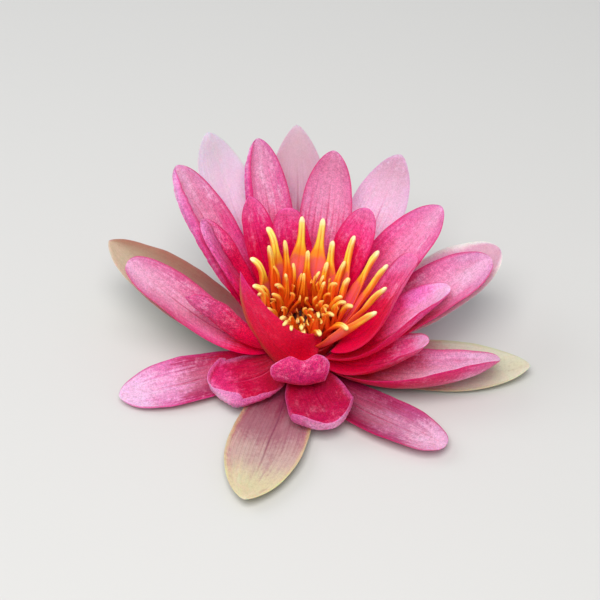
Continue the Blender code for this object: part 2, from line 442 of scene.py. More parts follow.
@dataclass(frozen=True)
class Net:
    """A net of points wrapped round a blade or strap, in rows from foot to tip.

    Around is the number of points in a row, and gather how much closer the rows stand towards the
    tip.
    """

    rows: int
    around: int
    gather: float

    def spread(self, recipe: Recipe) -> Tuple[Term, Term, Term, Term, Term]:
        """Lays the net out in a recipe.

        Args:
            recipe: The recipe.

        Returns:
            The net, each point's place along, 0 to 1, across, -1 to 1, and through, -1 to 1, and
            its body, 0 in the row that closes the foot and 1 in the others.
        """
        columns = self.around + 1
        index = recipe.shape("GeometryNodeInputIndex", {})
        row = calculated("FLOOR", (index + 0.5) / float(columns))
        run = most(row - 1.0, 0.0) / float(self.rows - 2)
        along = 1.0 - (1.0 - least(run, 1.0)) ** self.gather
        turn = (index - row * float(columns)) * (2 * math.pi / self.around)
        across, face = cosine(turn), sine(turn)
        body = calculated("COMPARE", row, 0.0, 0.25) * -1.0 + 1.0
        net = recipe.shape("GeometryNodeMeshGrid", {
            "Size X": 1.0, "Size Y": 1.0, "Vertices X": self.rows, "Vertices Y": columns})
        net = recipe.stored(net, BLADE_PLACE, arrow(recipe.tree, along, across, face))
        return net, along, across, face, body


def added(name: str, data: bpy.types.ID) -> bpy.types.Object:
    """A new object in the scene.

    Args:
        name: Its name.
        data: Its mesh, light or camera.

    Returns:
        The object.
    """
    made = bpy.data.objects.new(name, data)
    bpy.context.scene.collection.objects.link(made)
    return made


def faced_outwards(mesh: bpy.types.Mesh, merged: bool = False) -> None:
    """Turns every face of a closed mesh outwards.

    Args:
        mesh: The mesh.
        merged: Whether points that meet become one first.
    """
    shell = bmesh.new()
    shell.from_mesh(mesh)
    if merged:
        bmesh.ops.remove_doubles(shell, verts=shell.verts, dist=MERGE_REACH)
    bmesh.ops.recalc_face_normals(shell, faces=shell.faces)
    shell.to_mesh(mesh)
    shell.free()


# ------------------------------------------------------------------------------
# Places
# ------------------------------------------------------------------------------


@dataclass(frozen=True)
class Stand:
    """Where the flower's axis meets the surface, in the frame's metres."""

    x: float
    y: float

    @classmethod
    def of_stub(cls) -> "Stand":
        """The middle of the stalk stub."""
        low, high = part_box("stem_stub")
        return cls((low.x + high.x) / 2, (low.y + high.y) / 2)

    def point(self, millimetres: np.ndarray) -> np.ndarray:
        """A point given in millimetres from the foot of the axis, in the frame's metres."""
        return np.asarray(millimetres, float) * MM + np.array((self.x, self.y, 0.0))


def polar(azimuth: float, radius: float, height: float) -> np.ndarray:
    """The point at this azimuth in degrees, radius and height."""
    angle = math.radians(azimuth)
    return np.array((radius * math.cos(angle), radius * math.sin(angle), height))


def direction(azimuth: float, rise: float) -> np.ndarray:
    """The unit vector at this azimuth and angle above the horizontal, both in degrees."""
    return polar(azimuth, math.cos(math.radians(rise)), math.sin(math.radians(rise)))


@dataclass(frozen=True)
class Spine:
    """The four points of a cubic curve, and the level direction across it."""

    points: Tuple[np.ndarray, np.ndarray, np.ndarray, np.ndarray]
    level: np.ndarray

    def sizes(self, stand: Stand) -> Dict[str, object]:
        """The curve as a recipe's inputs."""
        return dict(zip(SPINE_POINTS, [stand.point(point) for point in self.points] + [self.level]))


def spine(foot: np.ndarray, tip: np.ndarray, leaving: float, heading: float, facing: float,
          dip: float, lift: float, bow: float) -> Spine:
    """A blade's or a stamen's curve.

    Args:
        foot: Where it starts, in millimetres.
        tip: Where it ends.
        leaving: The azimuth in which it leaves its foot.
        heading: The azimuth in which it reaches its tip.
        facing: The azimuth that its back faces.
        dip: How far it leaves its foot below the straight line to its tip, in degrees.
        lift: How far it ends above that line, in degrees.
        bow: The length of its handles, as a share of the straight line.

    Returns:
        The curve.
    """
    chord = tip - foot
    length = float(np.linalg.norm(chord))
    rise = math.degrees(math.atan2(chord[2], math.hypot(chord[0], chord[1])))
    first = foot + direction(leaving, rise - dip) * length * bow
    second = tip - direction(heading, rise + lift) * length * bow
    angle = math.radians(facing)
    return Spine((foot, first, second, tip), np.array((-math.sin(angle), math.cos(angle), 0.0)))


# ------------------------------------------------------------------------------
# Petal and sepal tissue
# ------------------------------------------------------------------------------


def linear(colour: Sequence[float]) -> Tuple[float, float, float, float]:
    """A colour of 0 to 255 in each channel, as linear light with an alpha of 1."""
    shares = [channel / FULL_CHANNEL for channel in colour]
    light = [share / 12.92 if share <= 0.04045 else ((share + 0.055) / 1.055) ** 2.4
             for share in shares]
    return (light[0], light[1], light[2], 1.0)


def mixed(factor: Number, first: object, second: object) -> Term:
    """Two colours mixed.

    Args:
        factor: The share of the second.
        first: A term or a constant colour.
        second: A term or a constant colour.

    Returns:
        The mixed colour.
    """
    node = tree_of(factor, first, second).nodes.new("ShaderNodeMix")
    node.data_type = "RGBA"
    for target, value in zip(live(node.inputs), (factor, first, second)):
        plug(target, value)
    return Term(live(node.outputs)[0])


def ramp(value: Term, stops: Sequence[Tuple[float, Colour]]) -> Term:
    """A colour read off a smooth ramp.

    Args:
        value: Where it is read.
        stops: Each stop's place and colour, 0 to 255 in each channel.

    Returns:
        The colour.
    """
    node = tree_of(value).nodes.new("ShaderNodeValToRGB")
    node.color_ramp.interpolation = "EASE"
    elements = node.color_ramp.elements
    while len(elements) < len(stops):
        elements.new(0.5)
    for element, (place, colour) in zip(elements, stops):
        element.position = place
        element.color = linear(colour)
    plug(node.inputs[0], value)
    return Term(node.outputs["Color"])


def shaded(tone: Term, shade: Number) -> Term:
    """A colour multiplied by a number."""
    return Term((Arrow(tone.socket) * shade).socket)


class Skin:
    """A material in the making, with the places that its patterns read.

    Place is where a point lies on its piece, along, across and through, and spot where it is in
    space.
    """

    def __init__(self, name: str) -> None:
        """Makes the material.

        Args:
            name: Its name.
        """
        self.material = bpy.data.materials.new(name)
        self.material.use_nodes = True
        self.tree = self.material.node_tree
        place = self.tree.nodes.new("ShaderNodeAttribute")
        place.attribute_name = BLADE_PLACE
        self.place = Arrow(place.outputs["Vector"])
        self.spot = Arrow(self.tree.nodes.new("ShaderNodeTexCoord").outputs["Object"])

    def dressed(self, tone: Term, roughness: Term, relief: Term, depth: float,
                strength: float = 0.5,
                constants: Optional[Dict[str, object]] = None) -> bpy.types.Material:
        """Joins the patterns to the shader.

        Args:
            tone: The colour.
            roughness: The roughness.
            relief: The height of the fine relief.
            depth: The height that a relief of 1 stands for, in metres.
            strength: How strongly the relief shows.
            constants: The shader's inputs that are the same all over, by name.

        Returns:
            The material.
        """
        inputs = self.tree.nodes["Principled BSDF"].inputs
        plug(inputs["Base Color"], tone)
        plug(inputs["Roughness"], roughness)
        for title, value in (constants or {}).items():
            inputs[title].default_value = value
        bump = self.tree.nodes.new("ShaderNodeBump")
        bump.inputs["Strength"].default_value = strength
        bump.inputs["Distance"].default_value = depth
        plug(bump.inputs["Height"], relief)
        self.tree.links.new(bump.outputs["Normal"], inputs["Normal"])
        return self.material


PETAL_GLOSS = {
    "Subsurface Weight": 0.6, "Subsurface Radius": (1.0, 0.22, 0.35), "Subsurface Scale": 0.003,
    "Sheen Weight": 0.03, "Sheen Roughness": 0.4, "Specular IOR Level": 0.38,
    "Specular Tint": (1.0, 0.5, 0.8, 1.0),
}
STAMEN_GLOSS = {
    "Subsurface Weight": 0.2, "Subsurface Radius": (1.0, 0.5, 0.2), "Subsurface Scale": 0.001,
    "Specular IOR Level": 0.45,
}


@dataclass(frozen=True)
class Tissue:
    """The finish of a sepal or petal: its colours from foot to tip on each face, and its markings.

    Inner and outer are four colours each, at the places in stops. Veins are the strength of the
    lines along it, midrib that of the middle line, mottle and speckle those of its blotches and its
    grain. Painted sheen is how far its pale blotches go towards the sheen colour, a painted satin
    highlight, and depth how far its deeper ones go towards the vein colour. Painted middle sheen is
    how far its upper middle goes towards the sheen colour, a painted highlight. Margin side, if not
    0, keeps the margin's colour to one side.
    """

    inner: Tuple[Colour, Colour, Colour, Colour]
    outer: Tuple[Colour, Colour, Colour, Colour]
    margin: Colour = (226, 90, 150)
    margin_share: float = 0.35
    margin_from: float = 0.86
    margin_side: float = 0.0
    stops: Tuple[float, float, float, float] = (0.10, 0.38, 0.68, 0.95)
    vein_colour: Colour = (150, 20, 80)
    veins: float = 0.25
    vein_count: float = 6.0
    midrib: float = 0.3
    mottle: float = 0.22
    streak: float = 0.20
    speckle: float = 0.25
    # Painted satin highlights: how far pale blotches go towards the sheen colour.
    painted_sheen: float = 0.35
    depth: float = 0.25
    # Painted highlight: how far the upper middle of the inner face goes towards the sheen colour.
    painted_middle_sheen: float = 0.0
    # The colour of the painted highlights.
    sheen: Colour = (250, 206, 230)
    roughness: float = 0.42

    def material(self, name: str, seed: float) -> bpy.types.Material:
        """The finish as a material.

        Args:
            name: The material's name.
            seed: Moves its markings, so that no two blades are alike.

        Returns:
            The material.
        """
        skin = Skin(name)
        along, across, face = skin.place.parts()
        inside = eased(face, -0.12, 0.12)
        streaks = clouds(arrow(skin.tree, across * 7.0, along * 1.1, seed), 2.0, 4.0, 0.6)
        blotches = clouds(arrow(skin.tree, across * 1.3, along * 2.6, seed + 7.3), 2.2, 3.0, 0.6)
        grain = clouds(skin.spot, GRAIN_PER_METRE, 2.0, 0.7)
        cells = clouds(skin.spot, CELLS_PER_METRE, 3.0, 0.65)
        fade = along + streaks * self.streak + blotches * self.mottle + cells * 0.12
        tone = mixed(inside, ramp(fade, list(zip(self.stops, self.outer))),
                     ramp(fade, list(zip(self.stops, self.inner))))
        upper = eased(along, self.stops[0], self.stops[2])
        # Painted highlight: a pale band up the middle of the inner face, in its upper part.
        middle_sheen_mask = (1.0 - eased(size_of(across + streaks * 0.6), 0.05, 0.85)) * upper * inside
        # One noise field: painted satin highlights where it is high, deeper patches where it is
        # low.
        sheen_and_mottle = streaks * 0.35 + blotches + cells * 0.7
        veins, rib = self.lines(along, across, seed)
        spread = across * self.margin_side if self.margin_side else size_of(across)
        ragged = spread + cells * 0.10 + blotches * 0.12
        edge = eased(ragged, self.margin_from, 0.99) * eased(along, 0.1, 0.4)
        # Painted satin highlights, the painted middle highlight, deeper patches, veins, midrib and
        # margin, mixed in turn.
        for share, colour in (
                (eased(sheen_and_mottle, -0.04, 0.52) * upper * self.painted_sheen, self.sheen),
                (eased(-sheen_and_mottle, 0.0, 0.42) * self.depth, self.vein_colour),
                (middle_sheen_mask * self.painted_middle_sheen, self.sheen), (veins * self.veins, self.vein_colour),
                (rib * self.midrib, self.vein_colour), (edge * self.margin_share, self.margin)):
            tone = mixed(share, tone, linear(colour))
        specks = eased(grain + cells * 0.5, -0.30, 0.30)
        tone = shaded(tone, 1.0 - self.speckle * 0.5 + specks * self.speckle)
        relief = streaks * 0.6 + veins * 0.4 + rib * 0.7 + cells * 0.5 + grain * 0.3
        roughness = self.roughness + grain * 0.16 - veins * 0.06
        return skin.dressed(tone, roughness, relief, COARSE_RELIEF, constants=PETAL_GLOSS)

    def lines(self, along: Term, across: Term, seed: float) -> Tuple[Term, Term]:
        """The lines along the blade.

        Args:
            along: The place from foot to tip, 0 to 1.
            across: The place between the margins, -1 to 1.
            seed: Moves the lines.

        Returns:
            The veins and the midrib, each from 0 to 1.
        """
        tree = tree_of(along)
        wander = clouds(arrow(tree, across * 2.0, along * 3.0, seed + 3.1), 1.5, 2.0) * 0.16
        turn = (across + wander * 0.6) * self.vein_count
        near = size_of(calculated("FRACT", turn + 100.5) - 0.5)
        strength = clouds(arrow(tree, across * 6.0, along * 2.0, seed + 11.0), 2.0, 3.0) + 0.5
        veins = (1.0 - eased(near, 0.0, 0.16)) * strength * (1.0 - eased(along, 0.55, 0.92))
        rib = (1.0 - eased(size_of(across + wander * 0.35), 0.0, 0.055)) * eased(along, 0.0, 0.2)
        return veins, rib * (1.0 - eased(along, 0.55, 0.85))


# ------------------------------------------------------------------------------
# Blades
# ------------------------------------------------------------------------------


@dataclass(frozen=True)
class Whorl:
    """What the blades of one ring share, in millimetres and degrees.

    Base is the radius and height of their feet, widest where they are widest, from 0 at the foot to
    1 at the tip, taper how pointed they are, claw the width of their feet as a share of their full
    width, and cup the angle that each side bends up.
    """

    slot: str
    base: Tuple[float, float]
    thickness: float
    widest: float
    taper: float
    claw: float
    cup: float


SEPALS = Whorl("sepal", base=(8.8, 3.0), thickness=1.1, widest=0.55, taper=0.72, claw=0.36, cup=28)
OUTER = Whorl("outer_petal", base=(9.6, 5.4), thickness=0.9, widest=0.60, taper=0.66, claw=0.32,
              cup=30)
MIDDLE = Whorl("middle_petal", base=(10.4, 8.0), thickness=0.9, widest=0.60, taper=0.62, claw=0.32,
               cup=40)
INNER = Whorl("inner_petal", base=(12.0, 12.0), thickness=0.9, widest=0.62, taper=0.55, claw=0.40,
              cup=45)


@dataclass(frozen=True)
class Blade:
    """One sepal or petal.

    The first six numbers place its tip and bend its midline as in Spine, and width is its full
    width. Roll, foot, base, facing, heading, leaving, cup, claw, taper, widest and bow are its own
    shape. Ripple is the waviness of its margin, buckle that of its whole face, ridge the height of
    its lengthwise ridges, groove the depth of its middle and hood how far its point turns inwards,
    in millimetres. Curl is the angle to which a strip along one margin is folded up, curl_width
    that strip's share of half the blade, curl_side its side, 1 or -1, and curl_tip the angle to
    which the point is folded. Notch and skew, shares of its length, cut into its point and slant
    it.
    """

    name: str
    whorl: Whorl
    azimuth: float
    reach: float
    height: float
    dip: float
    lift: float
    width: float
    roll: float = 0.0
    foot: Optional[float] = None
    base: Optional[Tuple[float, float]] = None
    facing: Optional[float] = None
    heading: Optional[float] = None
    leaving: Optional[float] = None
    cup: Optional[float] = None
    claw: Optional[float] = None
    taper: Optional[float] = None
    widest: Optional[float] = None
    bow: float = HANDLE_SHARE
    ripple: float = 0.5
    buckle: float = 0.5
    ridge: float = 0.10
    groove: float = 0.35
    hood: float = 0.8
    curl: float = 0.0
    curl_width: float = 0.0
    curl_side: float = 1.0
    curl_tip: float = 0.0
    notch: float = 0.0
    skew: float = 0.0

    def own(self, key: str) -> float:
        """The blade's own value, or its whorl's."""
        value = getattr(self, key)
        return getattr(self.whorl, key) if value is None else value

    def spine(self) -> Spine:
        """The blade's midline.

        Returns:
            The curve.
        """
        foot = self.azimuth if self.foot is None else self.foot
        facing = foot if self.facing is None else self.facing
        heading = self.azimuth if self.heading is None else self.heading
        leaving = foot if self.leaving is None else self.leaving
        radius, height = self.own("base")
        return spine(polar(foot, radius, height), polar(self.azimuth, self.reach, self.height),
                     leaving, heading, facing, self.dip, self.lift, self.bow)

    def sizes(self, stand: Stand, seed: float) -> Dict[str, object]:
        """The blade as the blade recipe's inputs.

        Args:
            stand: Where the flower's axis is.
            seed: Moves its waves.

        Returns:
            A value for each named input.
        """
        sizes = self.spine().sizes(stand)
        sizes.update({
            "Roll": math.radians(self.roll), "Width": self.width * MM,
            "Thickness": self.whorl.thickness * MM, "Cup": math.radians(self.own("cup")),
            "Claw": self.own("claw"), "Widest": self.own("widest"), "Taper": self.own("taper"),
            "Ripple": self.ripple * MM, "Buckle": self.buckle * MM, "Ridge": self.ridge * MM,
            "Groove": self.groove * MM, "Hood": self.hood * MM, "Seed": seed,
            "Curl": math.radians(self.curl), "Curl width": self.curl_width,
            "Curl side": self.curl_side, "Curl tip": math.radians(self.curl_tip),
            "Notch": self.notch, "Skew": self.skew,
        })
        return sizes


BLADES = (
    Blade("sepal_left", SEPALS, 154.6, 67.8, 23.6, 14, 8, 24, foot=160),
    Blade("sepal_front", SEPALS, -105.5, 61.0, 3.4, 13, 6, 24, ripple=0.12, buckle=0.2),
    Blade("sepal_right", SEPALS, -5.5, 70.5, 3.8, 9, 8, 21, roll=4, cup=12, ripple=0.2, buckle=0.2),
    Blade("sepal_back", SEPALS, 92, 43.5, 59.0, 71, 12, 21.5, roll=-3, base=(8.6, 1.8), cup=14,
          claw=0.28, bow=0.5),
    Blade("outer_petal_back_left", OUTER, 123, 54.0, 54.5, 9, 10, 18.5, roll=-11, claw=0.28),
    Blade("outer_petal_back_right", OUTER, 53, 51.5, 49.0, 16, 10, 20, roll=4, claw=0.28),
    Blade("outer_petal_right", OUTER, 18.5, 65.0, 27.5, 14, 10, 25, roll=4, foot=17, claw=0.22,
          taper=0.5),
    Blade("middle_petal_left_back", MIDDLE, 143, 48.0, 54.0, 14, 6, 18, base=(10.5, 8.6), curl=125,
          curl_width=0.42),
    Blade("middle_petal_back_left", MIDDLE, 110, 40.0, 58.0, 12, 6, 15.4, curl=118,
          curl_width=0.34),
    Blade("middle_petal_back", MIDDLE, 74.5, 37.5, 54.5, 16, 6, 17.5, cup=35),
    Blade("middle_petal_right_back", MIDDLE, 28, 48.5, 43.0, 10, 6, 19.5, foot=35, claw=0.2),
    Blade("middle_petal_right", MIDDLE, 9.6, 58.5, 32.5, 14, 6, 23, roll=6, base=(10.2, 7.6),
          foot=2, claw=0.22, taper=0.5),
    Blade("middle_petal_right_low", MIDDLE, -11.5, 61.0, 11.5, 10, 22, 25, roll=-15,
          base=(9.4, 4.8), foot=-36, heading=6, cup=68, claw=0.2, taper=0.42),
    Blade("middle_petal_front_right", MIDDLE, -43.5, 57.0, 3.2, 8, 9, 17, base=(9.2, 4.1), foot=-62,
          cup=34, claw=0.24, taper=0.45),
    Blade("middle_petal_left_low", MIDDLE, -162, 58.0, 2.0, 8, 4, 18, roll=-10, base=(9.6, 5.0),
          foot=-160, cup=30),
    Blade("middle_petal_left", MIDDLE, 171, 54.0, 32.0, 16, 6, 18.5, roll=-12, base=(10.2, 7.4),
          foot=186, claw=0.22, taper=0.42, widest=0.62),
    Blade("inner_petal_left_back", INNER, 150.5, 35.5, 42.0, 14, 6, 14, roll=12, cup=58, foot=152,
          curl=140, curl_width=1.25),
    Blade("inner_petal_left", INNER, -174, 34.5, 29.5, 18, 4, 14.5, roll=42, base=(11.2, 9.5),
          foot=-160, cup=72, claw=0.3, taper=0.4),
    Blade("inner_petal_back_left", INNER, 124, 29.5, 46.0, 12, 6, 12, foot=125, taper=0.65),
    Blade("inner_petal_back", INNER, 100, 25.0, 41.5, 12, 6, 12.5, foot=89, claw=0.36, taper=0.36),
    Blade("inner_petal_back_right", INNER, 45, 29.0, 44.5, 14, 6, 14, foot=54),
    Blade("inner_petal_right_back", INNER, 17.5, 36.8, 32.6, 18, 8, 20, base=(13.0, 14.4), foot=-26,
          facing=-10, heading=35, cup=40, claw=0.7, widest=0.68, taper=0.3),
    Blade("inner_petal_right", INNER, 2.5, 45.0, 28.2, 21, 8, 20.5, base=(11.2, 9.8), foot=-27,
          facing=-16, heading=12, cup=60, claw=0.9, taper=0.5),
    Blade("inner_petal_right_low", INNER, -15, 39.5, 17.0, 31, 28, 18, base=(10.8, 8.8), foot=-41,
          facing=-32, cup=62, claw=0.55, taper=0.5),
    Blade("inner_petal_front", INNER, -92, 19.0, 22.0, 75, 55, 18, base=(11.2, 9.4), cup=22,
          claw=0.66, taper=0.44, widest=0.8, bow=0.7, ridge=0.0, groove=0.0, notch=0.12, skew=0.12),
    Blade("inner_petal_front_left", INNER, -148, 34.0, 4.5, 14, 4, 20, base=(10.2, 7.0), foot=-132,
          cup=5, claw=0.5, curl=95, curl_width=0.26, curl_tip=75),
    Blade("inner_petal_front_right", INNER, -75.5, 36.5, 5.6, 2, 4, 19.5, roll=5, base=(10.3, 7.8),
          foot=-82, cup=5, claw=0.32, taper=0.45, curl=75, curl_width=0.1, curl_side=-1,
          curl_tip=80),
    Blade("inner_petal_front_wall", INNER, -156.5, 19.55, 44.4, 47.4, 21.5, 22, roll=-24,
          base=(14.6, 11.6), foot=-76.5, facing=-96, leaving=-200, heading=-192.8, cup=26,
          claw=0.34, taper=1.16, widest=0.13, bow=0.35, ripple=0.3, buckle=0.3, hood=0.2),
)


# Colours are written 0 to 255 in each channel. Sheen colours, and the shares that mix them in, are
# painted highlights.
SEPAL_TISSUE = Tissue(
    inner=((140, 50, 78), (160, 108, 118), (190, 164, 156), (204, 198, 160)),
    outer=((112, 104, 48), (126, 122, 60), (150, 146, 80), (196, 188, 126)),
    margin=(196, 192, 120), margin_share=0.5, stops=(0.18, 0.44, 0.66, 0.88),
    vein_colour=(128, 34, 74), veins=0.45, vein_count=10.0, midrib=0.6, mottle=0.10, streak=0.22,
    speckle=0.14, painted_sheen=0.15, roughness=0.46)

PALE_BACKS = ((206, 60, 120), (222, 130, 176), (230, 190, 216), (228, 214, 216))
CRIMSON_FOOT = (236, 0, 72)

TISSUES: Dict[str, Tissue] = {
    "sepal_front": SEPAL_TISSUE,
    "sepal_left": replace(
        SEPAL_TISSUE, inner=((200, 90, 124), (176, 136, 136), (180, 158, 138), (188, 180, 152)),
        margin=(134, 92, 66), margin_share=0.75, margin_from=-0.2, margin_side=-1.0,
        vein_colour=(136, 96, 84), veins=0.4, midrib=0.2),
    "sepal_right": replace(
        SEPAL_TISSUE, inner=((190, 50, 90), (200, 150, 146), (206, 202, 184), (208, 208, 182)),
        margin=(184, 188, 136), margin_share=0.6, vein_colour=(150, 130, 90), veins=0.3,
        midrib=0.25),
    "sepal_back": replace(
        SEPAL_TISSUE, inner=((226, 60, 120), (234, 160, 204), (234, 208, 228), (214, 188, 200)),
        margin=(220, 170, 180), margin_share=0.4, vein_colour=(196, 90, 150), veins=0.4),
    "outer_petal_back_left": Tissue(
        inner=((226, 80, 146), (224, 178, 206), (226, 204, 224), (206, 198, 210)), outer=PALE_BACKS,
        margin=(204, 190, 186), margin_share=0.5, vein_colour=(200, 176, 198), veins=0.2,
        midrib=0.1, mottle=0.14, speckle=0.14, painted_sheen=0.3, depth=0.3, sheen=(234, 232, 238)),
    "outer_petal_back_right": Tissue(
        inner=((226, 40, 110), (236, 156, 200), (236, 198, 224), (204, 166, 188)), outer=PALE_BACKS,
        margin=(214, 150, 184), margin_share=0.5, vein_colour=(206, 90, 156), veins=0.5, midrib=0.6,
        speckle=0.3, painted_sheen=0.7, sheen=(240, 222, 238)),
    "outer_petal_right": Tissue(
        inner=((220, 30, 90), (228, 110, 170), (226, 150, 192), (206, 168, 184)), outer=PALE_BACKS,
        margin=(236, 226, 218), margin_share=0.9, margin_from=0.7, vein_colour=(176, 110, 140),
        veins=0.3, speckle=0.2, sheen=(236, 222, 230)),
}

MIDDLE_TISSUE = Tissue(
    inner=(CRIMSON_FOOT, (224, 36, 118), (228, 98, 162), (212, 114, 166)),
    outer=(CRIMSON_FOOT, (224, 20, 96), (230, 66, 136), (234, 124, 176)),
    margin=(208, 10, 92), margin_share=0.75, stops=(0.2, 0.47, 0.68, 0.9),
    vein_colour=(196, 14, 96), veins=0.45, midrib=0.4, mottle=0.3, streak=0.34, speckle=0.5,
    painted_sheen=0.75, depth=0.4, painted_middle_sheen=0.3)

TISSUES.update({
    # Its inner colours are kept bright as painted light where its neighbours shade it.
    "middle_petal_left_back": replace(
        MIDDLE_TISSUE, inner=(CRIMSON_FOOT, (238, 80, 156), (218, 104, 156), (218, 140, 182)),
        outer=(CRIMSON_FOOT, (232, 60, 130), (236, 100, 166), (240, 136, 190))),
    "middle_petal_back": replace(
        MIDDLE_TISSUE, inner=(CRIMSON_FOOT, (232, 84, 146), (230, 138, 184), (204, 112, 156)),
        midrib=0.6, veins=0.75, vein_count=4.5, painted_middle_sheen=0.2),
    "middle_petal_back_left": replace(
        MIDDLE_TISSUE, outer=(CRIMSON_FOOT, (228, 40, 116), (232, 76, 146), (236, 104, 166))),
    "middle_petal_right": replace(
        MIDDLE_TISSUE, inner=(CRIMSON_FOOT, (218, 60, 122), (226, 116, 170), (204, 134, 178)),
        painted_middle_sheen=0.45),
    "middle_petal_right_low": replace(
        MIDDLE_TISSUE, inner=((214, 0, 36), (206, 40, 96), (214, 122, 168), (226, 174, 206)),
        outer=((190, 4, 44), (200, 24, 82), (206, 40, 104), (226, 96, 156)), painted_middle_sheen=0.7),
    # Its inner colours are darkened as painted shade from the lip petals that overhang it.
    "middle_petal_front_right": replace(
        MIDDLE_TISSUE, inner=((130, 2, 46), (140, 14, 66), (166, 64, 118), (216, 160, 192)),
        margin=(176, 24, 84), stops=(0.18, 0.44, 0.7, 0.92), painted_sheen=0.3, depth=0.5),
    "middle_petal_left_low": replace(
        MIDDLE_TISSUE, inner=((206, 0, 66), (158, 14, 80), (216, 124, 178), (232, 178, 212)),
        margin=(196, 50, 116), stops=(0.2, 0.5, 0.67, 0.9)),
    "middle_petal_left": replace(
        MIDDLE_TISSUE, inner=(CRIMSON_FOOT, (236, 92, 160), (206, 88, 140), (218, 138, 180)),
        painted_middle_sheen=0.45, stops=(0.12, 0.34, 0.6, 0.88)),
})

INNER_TISSUE = Tissue(
    inner=(CRIMSON_FOOT, (220, 0, 84), (230, 40, 122), (236, 96, 164)),
    outer=(CRIMSON_FOOT, (228, 10, 92), (236, 60, 134), (242, 124, 182)),
    margin=(206, 0, 76), margin_share=0.7, stops=(0.3, 0.55, 0.76, 0.94), vein_colour=(184, 0, 64),
    veins=0.4, mottle=0.26, streak=0.3, speckle=0.5, painted_sheen=0.5, depth=0.35)

TISSUES.update({
    "inner_petal_back_right": replace(
        INNER_TISSUE, inner=(CRIMSON_FOOT, (226, 16, 92), (234, 66, 140), (234, 112, 172))),
    "inner_petal_left_back": replace(
        INNER_TISSUE, inner=(CRIMSON_FOOT, (214, 6, 78), (232, 56, 130), (244, 120, 176)),
        outer=(CRIMSON_FOOT, (232, 40, 116), (244, 92, 160), (250, 128, 184)), speckle=0.85,
        painted_sheen=0.4),
    "inner_petal_right_back": replace(
        INNER_TISSUE, inner=(CRIMSON_FOOT, (228, 30, 84), (244, 90, 150), (248, 124, 182)),
        outer=(CRIMSON_FOOT, (234, 50, 110), (248, 110, 164), (250, 140, 196))),
    # Its inner colours are brightened as painted light on a face that stands in shade; it also has
    # the painted middle highlight.
    "inner_petal_right": replace(
        INNER_TISSUE, inner=(CRIMSON_FOOT, (252, 46, 140), (254, 124, 204), (252, 182, 230)),
        outer=(CRIMSON_FOOT, (244, 20, 104), (250, 54, 150), (250, 110, 184)), painted_middle_sheen=0.5),
    "inner_petal_right_low": replace(
        INNER_TISSUE, inner=(CRIMSON_FOOT, (230, 24, 100), (248, 96, 168), (254, 180, 226)),
        outer=(CRIMSON_FOOT, (206, 16, 74), (224, 50, 114), (236, 90, 148))),
    "inner_petal_left": replace(
        INNER_TISSUE, outer=(CRIMSON_FOOT, (204, 30, 88), (208, 68, 126), (222, 90, 150)),
        speckle=0.9, margin=(190, 0, 66), painted_sheen=0.7),
    "inner_petal_front": replace(
        INNER_TISSUE, inner=((226, 60, 124), (226, 50, 112), (220, 40, 100), (210, 20, 80)),
        outer=((226, 60, 124), (204, 10, 76), (216, 40, 114), (208, 40, 110)), speckle=0.9,
        depth=0.6, vein_colour=(184, 16, 110), painted_sheen=0.45, margin=(238, 120, 180), margin_share=0.6,
        stops=(0.1, 0.4, 0.62, 0.9)),
    "inner_petal_front_left": replace(
        INNER_TISSUE, inner=((156, 0, 34), (184, 0, 62), (214, 44, 116), (238, 116, 178)),
        outer=((200, 20, 76), (220, 70, 136), (236, 130, 184), (240, 166, 206)),
        vein_colour=(160, 0, 60), margin=(236, 120, 180), margin_from=0.78,
        stops=(0.1, 0.5, 0.78, 0.95), streak=0.12, painted_sheen=0.25, speckle=0.7, midrib=0.1),
    "inner_petal_front_right": replace(
        INNER_TISSUE, inner=((150, 0, 34), (170, 0, 58), (178, 2, 72), (212, 66, 132)),
        outer=((190, 10, 66), (214, 60, 126), (228, 110, 168), (232, 150, 192)),
        vein_colour=(150, 0, 56), margin=(216, 80, 146), margin_share=0.6, margin_from=0.8,
        stops=(0.15, 0.5, 0.8, 0.96), streak=0.12, painted_sheen=0.2, speckle=0.7, midrib=0.15),
    "inner_petal_front_wall": replace(
        INNER_TISSUE, inner=(CRIMSON_FOOT, (226, 0, 70), (230, 10, 96), (234, 40, 120)),
        outer=((224, 4, 48), (238, 10, 60), (232, 2, 72), (230, 20, 108)),
        stops=(0.15, 0.4, 0.7, 0.95), margin=(166, 104, 38), margin_share=0.9, margin_from=0.5,
        margin_side=-1.0, veins=0.06, midrib=0.0, streak=0.1, painted_sheen=0.2),
})


